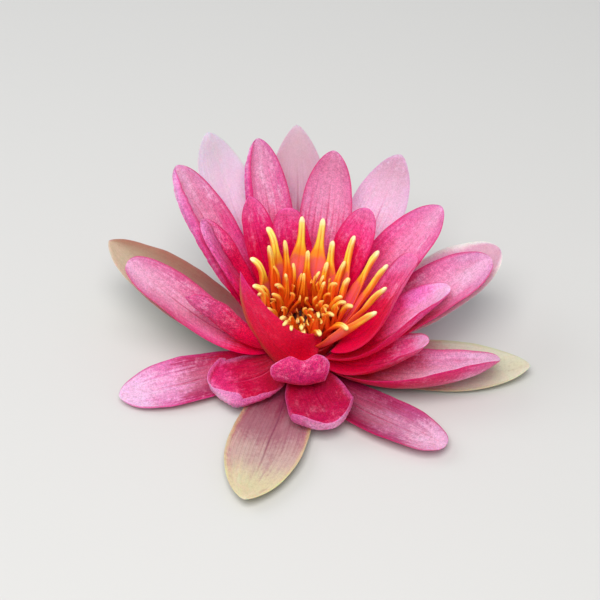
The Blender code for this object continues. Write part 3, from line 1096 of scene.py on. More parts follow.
class Corolla:
    """The sepals and petals."""

    NET = Net(84, 56, 1.7)

    def __init__(self, stand: Stand) -> None:
        """Makes the recipe that every blade shares."""
        self.stand = stand
        self.recipe = self.blade_recipe()

    def blade_recipe(self) -> Recipe:
        """The tree that sweeps a cupped blade along its midline.

        Returns:
            The recipe.
        """
        recipe = Recipe("blade on its midline", SPINE_POINTS, (
            "Roll", "Width", "Thickness", "Cup", "Claw", "Widest", "Taper", "Ripple", "Buckle",
            "Ridge", "Groove", "Hood", "Curl", "Curl width", "Curl side", "Curl tip", "Notch",
            "Skew", "Seed"))
        tree, seed = recipe.tree, recipe["Seed"]
        net, along, across, face, body = self.NET.spread(recipe)
        share = blade_share(along, recipe["Widest"], recipe["Taper"], recipe["Claw"])
        edge_noise = clouds(arrow(tree, across * 0.9, along * 5.0, seed), 1.0, 2.0)
        margin_noise = clouds(arrow(tree, along * 8.0, seed, 0.0), 1.0, 3.0, 0.6)
        half = share * recipe["Width"] * 0.5 * (1.0 + edge_noise * 0.07)
        # The point is cut back, and the strip beyond the crease folds over.
        lateral = across * share
        cut = recipe["Notch"] * (1.0 - eased(size_of(lateral - 0.12), 0.0, 0.5))
        cut = cut + recipe["Skew"] * eased(-lateral, -0.2, 0.9)
        crease = 0.92 - lateral * lateral * 0.3 + edge_noise * 0.05
        over = most(along - crease, 0.0)
        tip_bend = recipe["Curl tip"] * eased(along - crease, -0.01, 0.03)
        drawn = along - cut * eased(along, 0.3, 0.95) - over * (1.0 - cosine(tip_bend))
        centre, side, inward = swept_frame(recipe, drawn)
        # Across, the blade is an arc of the cup's angle, and a strip of one margin folds up.
        fold = recipe["Curl width"] * eased(across * recipe["Curl side"], -0.1, 0.3)
        fold = fold * eased(along, 0.12, 0.4) * (1.0 + margin_noise * 0.9)
        spread = size_of(across) * (1.0 + fold)
        excess = most(spread - 1.0, 0.0) * half
        turned = calculated("SIGN", across)
        bend_most = most(recipe["Cup"] * share, 0.001)
        bend = turned * least(spread, 1.0) * bend_most
        folded = bend + turned * recipe["Curl"] * eased(spread, 1.0, 1.06)
        rise = half * (1.0 - cosine(bend)) / bend_most + excess * sine(size_of(folded))
        out = half * sine(bend) / bend_most + turned * excess * cosine(folded)
        relief, crown = self.relief(recipe, along, across)
        chord = recipe["Tip"] - recipe["Foot"]
        crown = crown + over * sine(tip_bend) * calculated("SQRT", chord.dot(chord))
        up = (rise + relief) * least(share * 3.0, 1.0) + crown
        skin = recipe["Thickness"] * 0.5 * least(most(share * 0.8 + 0.35, 0.3), 1.0)
        skin = skin * least(share * 7.0, 1.0) * face
        place = centre + side * ((out - skin * sine(folded)) * body)
        place = place + inward * ((up + skin * cosine(folded) * cosine(tip_bend)) * body)
        recipe.close(net, place - side.cross(inward) * (skin * sine(tip_bend) * body))
        return recipe

    @staticmethod
    def relief(recipe: Recipe, along: Term, across: Term) -> Tuple[Term, Term]:
        """How far the blade's face stands above a plain cupped sheet, at each point.

        Args:
            recipe: The blade recipe.
            along: The distance from foot to tip, 0 to 1.
            across: The place between the margins, -1 to 1.

        Returns:
            The height of its waves and ridges, and that of its point, in metres.
        """
        tree, seed = recipe.tree, recipe["Seed"]
        spread = size_of(across)
        wave = clouds(arrow(tree, across * 0.8, along * 6.0, seed + 20.0), 1.0, 1.0)
        swell = clouds(arrow(tree, across * 1.1, along * 2.4, seed + 40.0), 1.0, 1.0)
        ridges = cosine((across + wave * 0.05) * (math.pi * RIDGES))
        ridges = ridges * (1.0 - eased(along, 0.7, 1.0))
        middle = 1.0 - eased(spread, 0.0, 0.16)
        relief = recipe["Ripple"] * wave * 2.0 * spread * spread * eased(along, 0.15, 0.6)
        relief = relief + recipe["Buckle"] * swell * 2.0 * eased(along, 0.1, 0.5)
        relief = relief + recipe["Ridge"] * ridges * 0.5 * (1.0 - eased(spread, 0.62, 1.0))
        relief = relief - recipe["Groove"] * middle * (1.0 - eased(along, 0.6, 0.98))
        tip = eased(along, 0.80, 1.0)
        return relief, recipe["Hood"] * tip * tip

    def build(self) -> List[bpy.types.Object]:
        """Every sepal and petal, each standing for its CAD node.

        Returns:
            The pieces.
        """
        pieces = []
        for number, blade in enumerate(BLADES):
            seed = 3.7 * number + 1.0
            plain = MIDDLE_TISSUE if blade.whorl is MIDDLE else INNER_TISSUE
            tissue = TISSUES.get(blade.name, plain)
            sizes = blade.sizes(self.stand, seed)
            sizes["Material"] = tissue.material(f"{blade.name}_tissue", seed)
            piece = self.recipe.make(f"{blade.name}_blade", sizes)
            settle(piece, blade.name)
            pieces.append(piece)
        return pieces


def swept_frame(recipe: Recipe, along: Term) -> Tuple[Arrow, Arrow, Arrow]:
    """The point on a recipe's curve, and the sideways and inward directions there.

    Args:
        recipe: A recipe with the inputs of a Spine, and Roll.
        along: The distance along the curve, 0 to 1.

    Returns:
        The point and the two unit vectors.
    """
    curve = recipe.shape("GeometryNodeCurvePrimitiveBezierSegment", {
        "Resolution": CURVE_STEPS, "Start": recipe["Foot"], "Start Handle": recipe["Foot handle"],
        "End Handle": recipe["Tip handle"], "End": recipe["Tip"]}, mode="POSITION")
    sample = recipe.node("GeometryNodeSampleCurve", {"Curves": curve, "Factor": along},
                         mode="FACTOR")
    centre, tangent = Arrow(sample.outputs["Position"]), Arrow(sample.outputs["Tangent"])
    side = squared(recipe["Level"], tangent)
    inward = tangent.cross(side).unit()
    level, upright = cosine(recipe["Roll"]), sine(recipe["Roll"])
    return centre, side * level + inward * upright, inward * level - side * upright


def squared(level: Arrow, tangent: Arrow) -> Arrow:
    """The unit vector nearest to the level direction that is square to the tangent."""
    return (level - tangent * tangent.dot(level)).unit()


def blade_share(along: Term, widest: Term, taper: Term, claw: Term) -> Term:
    """A blade's width along its length.

    Args:
        along: The distance from foot to tip, 0 to 1.
        widest: Where it is widest, 0 to 1.
        taper: How pointed it is.
        claw: The width of its foot, as a share of its full width.

    Returns:
        The width, as a share of its full width.
    """
    lead = taper * widest / (1.0 - widest)
    below = (least(along, 1.0) / widest) ** lead
    swell = below * (most(1.0 - along, 0.0) / (1.0 - widest)) ** taper
    low = claw + (1.0 - claw) * swell
    before = calculated("LESS_THAN", along, widest)
    return low * before + swell * (1.0 - before)


def settle(piece: bpy.types.Object, node: str) -> None:
    """Hands a piece to the frame in place of a CAD node.

    Args:
        piece: The finished piece.
        node: The CAD node that it stands for.
    """
    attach(piece, ROOT)
    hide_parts(node)
    points = np.array([vertex.co for vertex in piece.data.vertices])
    corners = np.array((points.min(axis=0), points.max(axis=0)))
    off = np.abs(corners - np.array([tuple(corner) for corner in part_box(node)])).max()
    LOG.info("%s: %d faces, %.2f mm off its solid's box, lowest at %.2f mm", piece.name,
             len(piece.data.polygons), off / MM, points[:, 2].min() / MM)


# ------------------------------------------------------------------------------
# Stamens
# ------------------------------------------------------------------------------


@dataclass(frozen=True)
class Pollen:
    """The finish of a stamen: its colours from foot to tip, and that of its edges and groove."""

    stops: Tuple[Tuple[float, Colour], ...]
    edge: Colour
    edge_share: float = 0.75
    back_share: float = 0.45
    stain_share: float = 0.35
    roughness: float = 0.48
    blotches_per_metre: float = 420.0
    grain_per_metre: float = 3200.0

    def material(self, name: str) -> bpy.types.Material:
        """The finish as a material.

        Args:
            name: The material's name.

        Returns:
            The material.
        """
        skin = Skin(name)
        along, across, face = skin.place.parts()
        blotches = clouds(skin.spot, self.blotches_per_metre, 2.0)
        grain = clouds(skin.spot, self.grain_per_metre, 2.0, 0.7)
        tone = ramp(along + blotches * 0.16 + grain * 0.03, self.stops)
        spread = size_of(across)
        edges = eased(spread, 0.66, 1.0) + (1.0 - eased(spread, 0.0, 0.22)) * 0.8
        low = 1.0 - eased(along, 0.80, 0.97)
        back = (1.0 - eased(face, -0.4, 0.3)) * low
        stains = eased(blotches + grain, 0.02, 0.3) * low
        for share in (least(edges, 1.0) * low * self.edge_share, back * self.back_share,
                      stains * self.stain_share):
            tone = mixed(share, tone, linear(self.edge))
        tone = shaded(tone, 0.92 + eased(grain, -0.3, 0.3) * 0.16)
        roughness = self.roughness + grain * 0.2
        return skin.dressed(tone, roughness, grain + blotches, FINE_RELIEF, 0.4, STAMEN_GLOSS)


OUTER_POLLEN = Pollen(((0.02, (236, 16, 80)), (0.30, (240, 88, 118)), (0.48, (244, 110, 96)),
                       (0.57, (250, 160, 36)), (0.70, (250, 212, 60)), (0.90, (252, 224, 110)),
                       (0.98, (255, 242, 184))), (240, 90, 4))
MIDDLE_POLLEN = Pollen(((0.02, (224, 16, 10)), (0.30, (242, 66, 30)), (0.56, (248, 112, 12)),
                        (0.76, (250, 180, 36)), (0.97, (254, 230, 144))), (226, 60, 4))
INNER_POLLEN = Pollen(((0.02, (216, 40, 6)), (0.34, (250, 104, 18)), (0.76, (254, 148, 24)),
                       (0.92, (253, 190, 76)), (0.99, (254, 232, 150))), (236, 70, 6))
CARPEL_POLLEN = Pollen(((0.02, (120, 10, 4)), (0.40, (212, 42, 6)), (0.80, (238, 104, 18)),
                        (0.97, (246, 170, 76))), (140, 18, 4))


@dataclass(frozen=True)
class Ring:
    """One ring of stamens: its feet's radius and width and its tips' width, in millimetres.

    Neck is where the broad strap narrows to the anther, and swell how much broader the strap is
    than its foot.
    """

    pollen: Pollen
    radius: float
    foot_width: float
    tip_width: float
    neck: Tuple[float, float]
    swell: float


RINGS = (
    Ring(OUTER_POLLEN, radius=11.4, foot_width=4.8, tip_width=2.15, neck=(0.42, 0.72), swell=1.25),
    Ring(MIDDLE_POLLEN, radius=9.3, foot_width=3.3, tip_width=1.6, neck=(0.36, 0.68), swell=1.2),
    Ring(INNER_POLLEN, radius=7.3, foot_width=2.2, tip_width=1.2, neck=(0.20, 0.55), swell=0.9),
)
STAMEN_BASE_HEIGHT = 15.9

# Foot azimuth, ring, then the tip's azimuth, reach and height, and its dip and lift.
STAMENS = (
    (100, 0, 90, 22.0, 40.0, 0, 8), (75, 0, 73, 22.0, 40.0, 0, 8),
    (128, 0, 119, 22.0, 38.0, 10, -60), (155, 0, 150, 18.0, 34.5, 10, -60),
    (-178, 0, 172, 15.0, 29.5, 0, -70), (51, 0, 60, 19.0, 35.0, 0, 8),
    (27, 0, 46, 23.0, 37.0, 0, 8), (6, 0, 27, 26.0, 35.0, 0, 8), (-14, 0, 11, 26.0, 35.5, 0, 8),
    (-36, 0, -4, 25.0, 32.5, 0, 8), (-60, 0, -21, 23.5, 28.6, 0, 8),
    (142, 1, 131, 15.0, 37.5, -6, 12), (112, 1, 108, 17.0, 35.5, 0, 8),
    (85, 1, 83, 15.0, 32.5, 0, 8), (60, 1, 58, 14.5, 30.0, 0, 8), (36, 1, 42, 17.5, 31.0, 0, 8),
    (12, 1, 24, 15.5, 29.0, 0, 8), (-12, 1, -8, 15.5, 25.0, 20, -60),
    (-40, 1, -39, 17.5, 24.0, -30, -60), (-70, 1, -68, 14.5, 24.0, -10, -60),
    (-100, 1, -88, 12.5, 23.5, -10, -60), (-132, 1, -128, 10.5, 25.5, 0, -70),
    (-162, 1, -155, 12.5, 26.5, 0, -60), (165, 2, -175, 9.0, 29.0, 0, -40),
    (130, 2, 125, 8.5, 30.0, 0, 8), (92, 2, 86, 8.5, 29.0, 0, -30), (56, 2, 45, 9.5, 27.0, 0, 8),
    (15, 2, 2, 12.0, 27.0, 0, -20), (-50, 2, -45, 10.0, 23.0, -10, -60),
    (-118, 2, -100, 8.0, 24.0, -10, -60),
)


class Stamens:
    """The large stamens, each its own piece."""

    NET = Net(44, 24, 1.4)

    def __init__(self, stand: Stand) -> None:
        """Makes the recipe that they share."""
        self.stand = stand
        self.recipe = self.strap_recipe()

    def strap_recipe(self) -> Recipe:
        """The tree that sweeps a strap with an anther of two lobes along its midline.

        Returns:
            The recipe.
        """
        recipe = Recipe("stamen on its midline", SPINE_POINTS, (
            "Roll", "Foot width", "Tip width", "Neck start", "Neck end", "Swell", "Seed"))
        net, along, across, face, body = self.NET.spread(recipe)
        centre, side, inward = swept_frame(recipe, along)
        neck = stepped(along, recipe["Neck start"], recipe["Neck end"])
        wander = clouds(arrow(recipe.tree, along * 3.0, across * 0.6, recipe["Seed"]), 1.0, 2.0)
        broad = recipe["Foot width"] * recipe["Swell"]
        narrow = recipe["Tip width"] * (1.0 + (0.86 - along) * 1.5)
        belly = 1.0 + 0.18 * sine(eased(along, 0.0, 0.6) * math.pi)
        width = (broad * belly * (1.0 - neck) + narrow * neck) * (1.0 + wander * 0.18)
        out, up = strap_section(along, across, face, width, neck)
        bow = wander * STRAP_BOW * eased(along, 0.1, 0.5)
        recipe.close(net, centre + side * (out * body) + inward * ((up + bow) * body))
        return recipe

    def build(self) -> List[bpy.types.Object]:
        """Every large stamen, each standing for its CAD node.

        Returns:
            The pieces.
        """
        pieces = []
        finishes = [ring.pollen.material(f"pollen_{number}") for number, ring in enumerate(RINGS)]
        for number, (foot, ring_number, azimuth, reach, height, dip, lift) in enumerate(STAMENS, 1):
            ring = RINGS[ring_number]
            curve = spine(polar(foot, ring.radius, STAMEN_BASE_HEIGHT),
                          polar(azimuth, reach, height), azimuth, azimuth, foot, dip, lift,
                          HANDLE_SHARE)
            sizes = curve.sizes(self.stand)
            sizes.update({
                "Roll": 0.0, "Foot width": ring.foot_width * MM, "Tip width": ring.tip_width * MM,
                "Neck start": ring.neck[0], "Neck end": ring.neck[1], "Swell": ring.swell,
                "Seed": 2.3 * number, "Material": finishes[ring_number]})
            piece = self.recipe.make(f"stamen_{number:02d}_strap", sizes)
            settle(piece, f"stamen_{number:02d}")
            pieces.append(piece)
        return pieces


def stepped(value: Term, low: Number, high: Number) -> Term:
    """A smooth step between two limits that may be terms."""
    share = most(least((value - low) / (high - low), 1.0), 0.0)
    return share * share * (3.0 - 2.0 * share)


def strap_section(along: Term, across: Term, face: Term, width: Term,
                  neck: Term) -> Tuple[Term, Term]:
    """The outline of a stamen's cross-section: a thin strap below, an anther of two lobes above.

    Args:
        along: The distance from foot to tip, 0 to 1.
        across: The place between the edges, -1 to 1.
        face: The place between its back, -1, and its front, 1.
        width: Its width there.
        neck: How much of an anther it is there, 0 to 1.

    Returns:
        The distances sideways and towards the front.
    """
    near_end = (along - END_FROM) * (1.0 / END_LENGTH) * calculated("GREATER_THAN", along, END_FROM)
    rounding = most(1.0 - near_end ** 2.0, 0.0) ** 0.5
    thick = (STRAP_HALF + neck * ANTHER_HALF) * rounding
    anther = neck * (1.0 - eased(along, 0.86, 0.95))
    lobe = most(1.0 - ((size_of(across) - LOBE_PLACE) / LOBE_REACH) ** 2.0, 0.0)
    lobe = lobe * most(face, 0.0) ** 0.5 * anther * LOBE_HEIGHT
    curve = across * across * width * STRAP_DISH
    out = across * width * 0.5 * rounding
    return out, face * thick + lobe * rounding + curve * rounding * rounding


@dataclass(frozen=True)
class Tuft:
    """A set of small stamens or carpel points round the axis, in millimetres and degrees.

    They stand on turns of the step angle, from the inner radius to the outer one. Rise is their
    height and lean how far their tips stand out from their feet, each as inner and outer values.
    Curl is the least and the most that their tips bend over, and jitter how uneven they are.
    """

    name: str
    slot: str
    count: int
    step: float
    inner: float
    outer: float
    rise: Tuple[float, float]
    lean: Tuple[float, float]
    curl: Tuple[float, float]
    jitter: float
    foot_width: float
    tip_width: float
    pollen: Pollen
    seed: int
    base: float = 14.9

    def sizes(self, stand: Stand) -> Dict[str, object]:
        """The tuft as the tuft recipe's inputs.

        Args:
            stand: Where the flower's axis is.

        Returns:
            A value for each named input.
        """
        return {
            "Count": self.count, "Seed": self.seed, "Axis": stand.point(np.zeros(3)),
            "Step": math.radians(self.step), "Base": self.base * MM,
            "Inner radius": self.inner * MM, "Outer radius": self.outer * MM,
            "Rise inner": self.rise[0] * MM, "Rise outer": self.rise[1] * MM,
            "Lean inner": self.lean[0] * MM, "Lean outer": self.lean[1] * MM,
            "Curl least": math.radians(self.curl[0]), "Curl most": math.radians(self.curl[1]),
            "Foot width": self.foot_width * MM, "Tip width": self.tip_width * MM,
            "Jitter": self.jitter * MM,
            "Material": self.pollen.material(f"{self.name}_pollen")}


TUFTS = (
    Tuft("small_stamens_outer", "stamen", count=16, step=GOLDEN_TURN, inner=9.8, outer=11.0,
         rise=(10.0, 14.0), lean=(0.6, 3.4), curl=(-70.0, 40.0), jitter=1.5, foot_width=2.4,
         tip_width=0.85, pollen=MIDDLE_POLLEN, seed=11),
    Tuft("small_stamens_inner", "stamen", count=54, step=GOLDEN_TURN, inner=5.2, outer=9.8,
         rise=(5.0, 11.0), lean=(-2.8, 1.6), curl=(-125.0, 10.0), jitter=1.8, foot_width=1.2,
         tip_width=0.46, pollen=INNER_POLLEN, seed=23),
    Tuft("carpel_points", "ovary", count=17, step=360.0 / 17, inner=6.0, outer=6.1, rise=(3.0, 3.2),
         lean=(-2.4, -2.2), curl=(-110.0, -30.0), jitter=0.6, foot_width=1.5, tip_width=0.5,
         pollen=CARPEL_POLLEN, seed=5),
)


class Thicket:
    """The small stamens between the large ones, and the points of the carpels."""

    NET = Net(15, 8, 1.4)
    PATH = ("foot", "first", "second", "tip", "level")

    def __init__(self, stand: Stand) -> None:
        """Makes the recipe that the tufts share."""
        self.stand = stand
        self.recipe = self.tuft_recipe()

    def tuft_recipe(self) -> Recipe:
        """The tree that stands bent straps in turns round an axis, each with its own lean and curl.

        Returns:
            The recipe.
        """
        recipe = Recipe("tuft round an axis", ("Axis",), (
            "Step", "Inner radius", "Outer radius", "Base", "Rise inner", "Rise outer",
            "Lean inner", "Lean outer", "Curl least", "Curl most", "Jitter", "Foot width",
            "Tip width"),
            ("Count", "Seed"))
        tree, jitter = recipe.tree, recipe["Jitter"]
        number = recipe.shape("GeometryNodeInputIndex", {})
        ring = ((number + 0.5) / recipe["Count"]) ** 0.5
        stray = self.chance(recipe, 1, -0.10, 0.10) * jitter * TURN_PER_METRE
        angle = number * recipe["Step"] + stray
        radius = mix(recipe["Inner radius"], recipe["Outer radius"], ring)
        rise = mix(recipe["Rise inner"], recipe["Rise outer"], ring)
        rise = rise + self.chance(recipe, 2, -1.0, 1.0) * jitter
        lean = mix(recipe["Lean inner"], recipe["Lean outer"], ring)
        lean = lean + self.chance(recipe, 3, -1.0, 1.0) * jitter
        swing = self.chance(recipe, 4, -1.0, 1.0) * jitter
        bend = self.chance(recipe, 5, 0.0, 1.0) ** 0.8
        curl = mix(recipe["Curl least"], recipe["Curl most"], bend)
        out = arrow(tree, cosine(angle), sine(angle), 0.0)
        beside = arrow(tree, -sine(angle), cosine(angle), 0.0)
        upwards = arrow(tree, 0.0, 0.0, 1.0)
        foot = recipe["Axis"] + out * radius + arrow(tree, 0.0, 0.0, recipe["Base"])
        tip = foot + out * lean + beside * swing + arrow(tree, 0.0, 0.0, rise)
        reach = calculated("SQRT", rise * rise + lean * lean)
        first = foot + upwards * (reach * 0.4) + out * (lean * 0.05)
        over = self.chance(recipe, 6, -0.5, 0.5)
        bent = out * (cosine(curl) * 0.9) + beside * over + upwards * sine(curl)
        second = tip - bent.unit() * (reach * 0.42)
        level = (beside + out * self.chance(recipe, 7, -0.9, 0.9)).unit()
        points = recipe.shape("GeometryNodePoints", {"Count": recipe["Count"]})
        for name, value in zip(self.PATH, (foot, first, second, tip, level)):
            points = recipe.stored(points, name, value)
        points = recipe.stored(points, "stoutness", self.chance(recipe, 8, 0.8, 1.2))
        net, *_, body = self.NET.spread(recipe)
        net = recipe.stored(net, "body", body)
        straps = recipe.shape("GeometryNodeInstanceOnPoints", {"Points": points, "Instance": net})
        straps = recipe.shape("GeometryNodeRealizeInstances", {"Geometry": straps})
        recipe.close(straps, self.bent_strap(recipe))
        return recipe

    @staticmethod
    def chance(recipe: Recipe, salt: int, low: float, high: float) -> Term:
        """A random number for each strap, the same in every run.

        Args:
            recipe: The tuft recipe.
            salt: Which of its random numbers this is.
            low: The least that it may be.
            high: The most.

        Returns:
            The number.
        """
        node = recipe.node("FunctionNodeRandomValue", {}, data_type="FLOAT")
        for target, value in zip(live(node.inputs), (low, high)):
            plug(target, value)
        plug(node.inputs["Seed"], recipe["Seed"] + float(salt * SEED_STEP))
        return Term(live(node.outputs)[0])

    @staticmethod
    def read(recipe: Recipe, name: str, vector: bool = True) -> Term:
        """A stored attribute.

        Args:
            recipe: The tuft recipe.
            name: The attribute's name.
            vector: Whether it is a vector.

        Returns:
            Its value at each point.
        """
        kind = "FLOAT_VECTOR" if vector else "FLOAT"
        node = recipe.node("GeometryNodeInputNamedAttribute", {"Name": name}, data_type=kind)
        socket = live(node.outputs)[0]
        return Arrow(socket) if vector else Term(socket)

    def bent_strap(self, recipe: Recipe) -> Arrow:
        """Where each point of a strap goes, from the attributes stored on it.

        Args:
            recipe: The tuft recipe.

        Returns:
            The place.
        """
        along, across, face = self.read(recipe, BLADE_PLACE).parts()
        foot, first, second, tip, level = (self.read(recipe, name) for name in self.PATH)
        rest = 1.0 - along
        centre = (foot * (rest ** 3.0) + first * (rest * rest * along * 3.0)
                  + second * (rest * along * along * 3.0) + tip * (along ** 3.0))
        tangent = ((first - foot) * (rest * rest) + (second - first) * (rest * along * 2.0)
                   + (tip - second) * (along * along)).unit()
        side = squared(level, tangent)
        neck = eased(along, 0.35, 0.7)
        stout = self.read(recipe, "stoutness", False)
        knob = 1.0 + eased(along, 0.78, 0.94) * 0.15
        width = mix(recipe["Foot width"], recipe["Tip width"], neck) * stout * knob
        out, up = strap_section(along, across, face, width, neck)
        body = self.read(recipe, "body", False)
        return centre + side * (out * body) + tangent.cross(side) * (up * body)

    def build(self) -> List[bpy.types.Object]:
        """Every tuft as one piece.

        Returns:
            The pieces.
        """
        pieces = []
        for tuft in TUFTS:
            piece = self.recipe.make(tuft.name, tuft.sizes(self.stand))
            for name in self.PATH + ("stoutness", "body"):
                if name in piece.data.attributes:
                    piece.data.attributes.remove(piece.data.attributes[name])
            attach(piece, ROOT)
            LOG.info("%s: %d faces", piece.name, len(piece.data.polygons))
            pieces.append(piece)
        return pieces


def mix(first: Number, second: Number, share: Number) -> Term:
    """The value this share of the way from the first to the second."""
    return (1.0 - share) * first + share * second


# ------------------------------------------------------------------------------
# Ovary and stalk
# ------------------------------------------------------------------------------


@dataclass(frozen=True)
class Pistil:
    """The ovary with the rayed disc in its top, in millimetres."""

    stand: Stand
    wall: Tuple[Tuple[float, float], ...] = (
        (0.0, 2.9), (4.9, 2.9), (7.4, 3.2), (8.3, 5.0), (9.3, 8.0), (10.4, 11.5), (11.2, 14.0),
        (12.0, 14.8))
    wall_rings: int = 60
    wall_share: float = 0.6
    rim_radius: float = 6.4
    rim_height: float = 15.6
    disc_rings: int = 25
    eye_height: float = 13.6
    eye_knob: float = 1.3
    rays: int = 17
    ray_height: float = 0.42
    rib_depth: float = 0.012
    blotches_per_metre: float = 380.0
    grain_per_metre: float = 2400.0
    around: int = 204

    def profile(self) -> List[Tuple[float, float, float]]:
        """The outline that is turned.

        Returns:
            Radius, height and place along the outline, from the bottom of the wall to the eye.
        """
        corners = np.array(self.wall + ((self.rim_radius, self.rim_height),))
        run = np.concatenate(([0], np.cumsum(np.linalg.norm(np.diff(corners, axis=0), axis=1))))
        points = []
        for at in np.linspace(0, run[-1], self.wall_rings):
            radius, height = (float(np.interp(at, run, corners[:, side])) for side in (0, 1))
            points.append((radius, height, self.wall_share * float(at / run[-1])))
        for share in np.linspace(0, 1, self.disc_rings + 1)[1:]:
            radius = self.rim_radius * (1 - share)
            height = self.eye_height + (self.rim_height - self.eye_height) * (1 - share) ** 1.6
            height += self.eye_knob * math.exp(-(radius ** 2))
            points.append((radius, height, self.wall_share + (1 - self.wall_share) * float(share)))
        return points

    def build(self) -> List[bpy.types.Object]:
        """The turned outline with ribs on its wall and raised rays on its disc, as one piece.

        Returns:
            The piece.
        """
        points, places = [], []
        for radius, height, place in self.profile():
            on_disc = place > self.wall_share
            disc = min(1.0, radius / 2.0) if on_disc else 0.0
            rib = 0.0 if on_disc else max(0.0, math.sin(math.pi * place / self.wall_share))
            for turn in turns(self.around):
                ray = 0.5 + 0.5 * math.cos(self.rays * turn)
                out = radius * (1 + self.rib_depth * rib * (ray * 2 - 1))
                up = height + self.ray_height * disc * (ray ** 1.5 - 0.3)
                points.append((out * math.cos(turn), out * math.sin(turn), up))
                places.append((place, ray, disc))
        piece = turned_piece("pistil", self.stand, self.around, points, places, self.material())
        settle(piece, "ovary")
        return [piece]

    def material(self) -> bpy.types.Material:
        """Crimson walls, greenish at the foot, and a disc of orange rays with brown to near black
        between them, painted shade of the flower's deep centre.

        Returns:
            The material.
        """
        skin = Skin("pistil_skin")
        run, ray, disc = skin.place.parts()
        blotches = clouds(skin.spot, self.blotches_per_metre, 3.0)
        grain = clouds(skin.spot, self.grain_per_metre, 2.0)
        wall = ramp(run + blotches * 0.1, (
            (0.1, (150, 120, 70)), (0.25, (190, 70, 60)), (0.4, (190, 10, 40)),
            (0.6, (150, 16, 20))))
        # Painted shade: between its orange rays the disc is brown to near black, for the shade deep
        # in the flower.
        rays = ramp(ray + blotches * 0.3, (
            (0.1, (58, 12, 6)), (0.5, (140, 40, 10)), (0.9, (214, 110, 30))))
        tone = mixed(eased(disc, 0.05, 0.5), wall, rays)
        return skin.dressed(tone, 0.5 + grain * 0.3, grain + blotches, COARSE_RELIEF)


@dataclass(frozen=True)
class Stalk:
    """The stub of the flower stalk, with the air canals in its cut face, in millimetres.

    Canals are in sets of a number, the first one's azimuth, how far out they are and their radius.
    Canal edge is where their sides start, and canal slope how wide those are, as shares of it.
    Side is the outline above the cut face, as shares of the radius, heights and places along it.
    """

    stand: Stand
    radius: float = 4.4
    depth: float = 1.2
    face_rings: int = 45
    face_share: float = 0.975
    side: Tuple[Tuple[float, float, float], ...] = (
        (1.0, 0.12, 0.2), (1.005, 0.6, 0.4), (0.99, 1.3, 0.6), (1.0, 2.1, 0.8), (0.98, 2.5, 0.95),
        (0.94, 2.6, 1.0), (0.0, 2.6, 1.0))
    canals: Tuple[Tuple[int, float, float, float], ...] = (
        (4, 45, 1.55, 0.95), (4, 0, 2.75, 0.42), (4, 22, 3.45, 0.26), (4, 67, 3.45, 0.26))
    canal_edge: float = 1.08
    canal_slope: float = 0.16
    ribs: int = 24
    rib_depth: float = 0.006
    blotches_per_metre: float = 500.0
    grain_per_metre: float = 2600.0
    around: int = 144

    def hollow(self, x: float, y: float) -> float:
        """How deep the cut face is hollowed at a point.

        Args:
            x: The point's place.
            y: The same, at right angles.

        Returns:
            The depth, 0 to 1.
        """
        deepest = 0.0
        for count, first, out, radius in self.canals:
            for number in range(count):
                centre = polar(first + number * 360 / count, out, 0.0)
                gap = math.hypot(x - centre[0], y - centre[1]) / radius
                depth = (self.canal_edge - gap) / self.canal_slope
                deepest = max(deepest, min(1.0, max(0.0, depth)))
        return deepest

    def build(self) -> List[bpy.types.Object]:
        """The stub as one piece: a cut face with canals, a finely ribbed side and a flat top.

        Returns:
            The piece.
        """
        shares = np.linspace(0, self.face_share, self.face_rings + 1)
        rings = [(share, 0.0, 0.0) for share in shares]
        points, places = [], []
        for share, height, place in rings + list(self.side):
            for turn in turns(self.around):
                rib = math.cos(self.ribs * turn) if 0 < place < 1 else 0.0
                out = self.radius * share * (1 + self.rib_depth * rib)
                x, y = out * math.cos(turn), out * math.sin(turn)
                deep = self.hollow(x, y) if place == 0.0 else 0.0
                points.append((x, y, height + self.depth * deep))
                places.append((place, deep, share))
        piece = turned_piece("stalk", self.stand, self.around, points, places, self.material())
        settle(piece, "stem_stub")
        return [piece]

    def material(self) -> bpy.types.Material:
        """An olive and red-brown skin, and a pale green pith coloured dark in the canals as painted
        shade of their depth.

        Returns:
            The material.
        """
        skin = Skin("stalk_skin")
        run, deep, _ = skin.place.parts()
        blotches = clouds(skin.spot, self.blotches_per_metre, 3.0)
        grain = clouds(skin.spot, self.grain_per_metre, 3.0)
        bark = ramp(blotches + 0.5, (
            (0.2, (96, 92, 40)), (0.5, (120, 98, 50)), (0.8, (128, 70, 52))))
        # Painted shade: the pith goes dark olive where the canals are hollowed, for the shade down
        # the air canals.
        pith = mixed(deep, linear((206, 206, 150)), linear((70, 78, 40)))
        tone = mixed(eased(run, 0.05, 0.2), shaded(pith, 1.0 + grain * 0.4), bark)
        return skin.dressed(tone, 0.55 + grain * 0.3, grain, FINE_RELIEF)


def turns(around: int) -> List[float]:
    """The angles of a ring's points, in radians."""
    return [2 * math.pi * number / around for number in range(around)]


def turned_piece(name: str, stand: Stand, around: int, points: Sequence[Sequence[float]],
                 places: Sequence[Sequence[float]], finish: bpy.types.Material) -> bpy.types.Object:
    """A smooth closed piece made of rings of points round the flower's axis.

    Args:
        name: The piece's name.
        stand: Where the flower's axis is.
        around: How many points each ring has.
        points: The rings' points in order, in millimetres from the foot of the axis.
        places: The attribute that the finish reads, one for each point.
        finish: The piece's material.

    Returns:
        The piece.
    """
    faces = []
    for low in range(0, len(points) - around, around):
        for number in range(around):
            after = (number + 1) % around
            faces.append((low + number, low + after, low + around + after, low + around + number))
    mesh = bpy.data.meshes.new(name)
    mesh.from_pydata([tuple(point) for point in stand.point(points)], [], faces)
    attribute = mesh.attributes.new(BLADE_PLACE, "FLOAT_VECTOR", "POINT")
    attribute.data.foreach_set("vector", np.asarray(places, np.float32).ravel())
    faced_outwards(mesh, merged=True)
    mesh.shade_smooth()
    mesh.materials.append(finish)
    return added(name, mesh)


# ------------------------------------------------------------------------------
# Studio
# ------------------------------------------------------------------------------


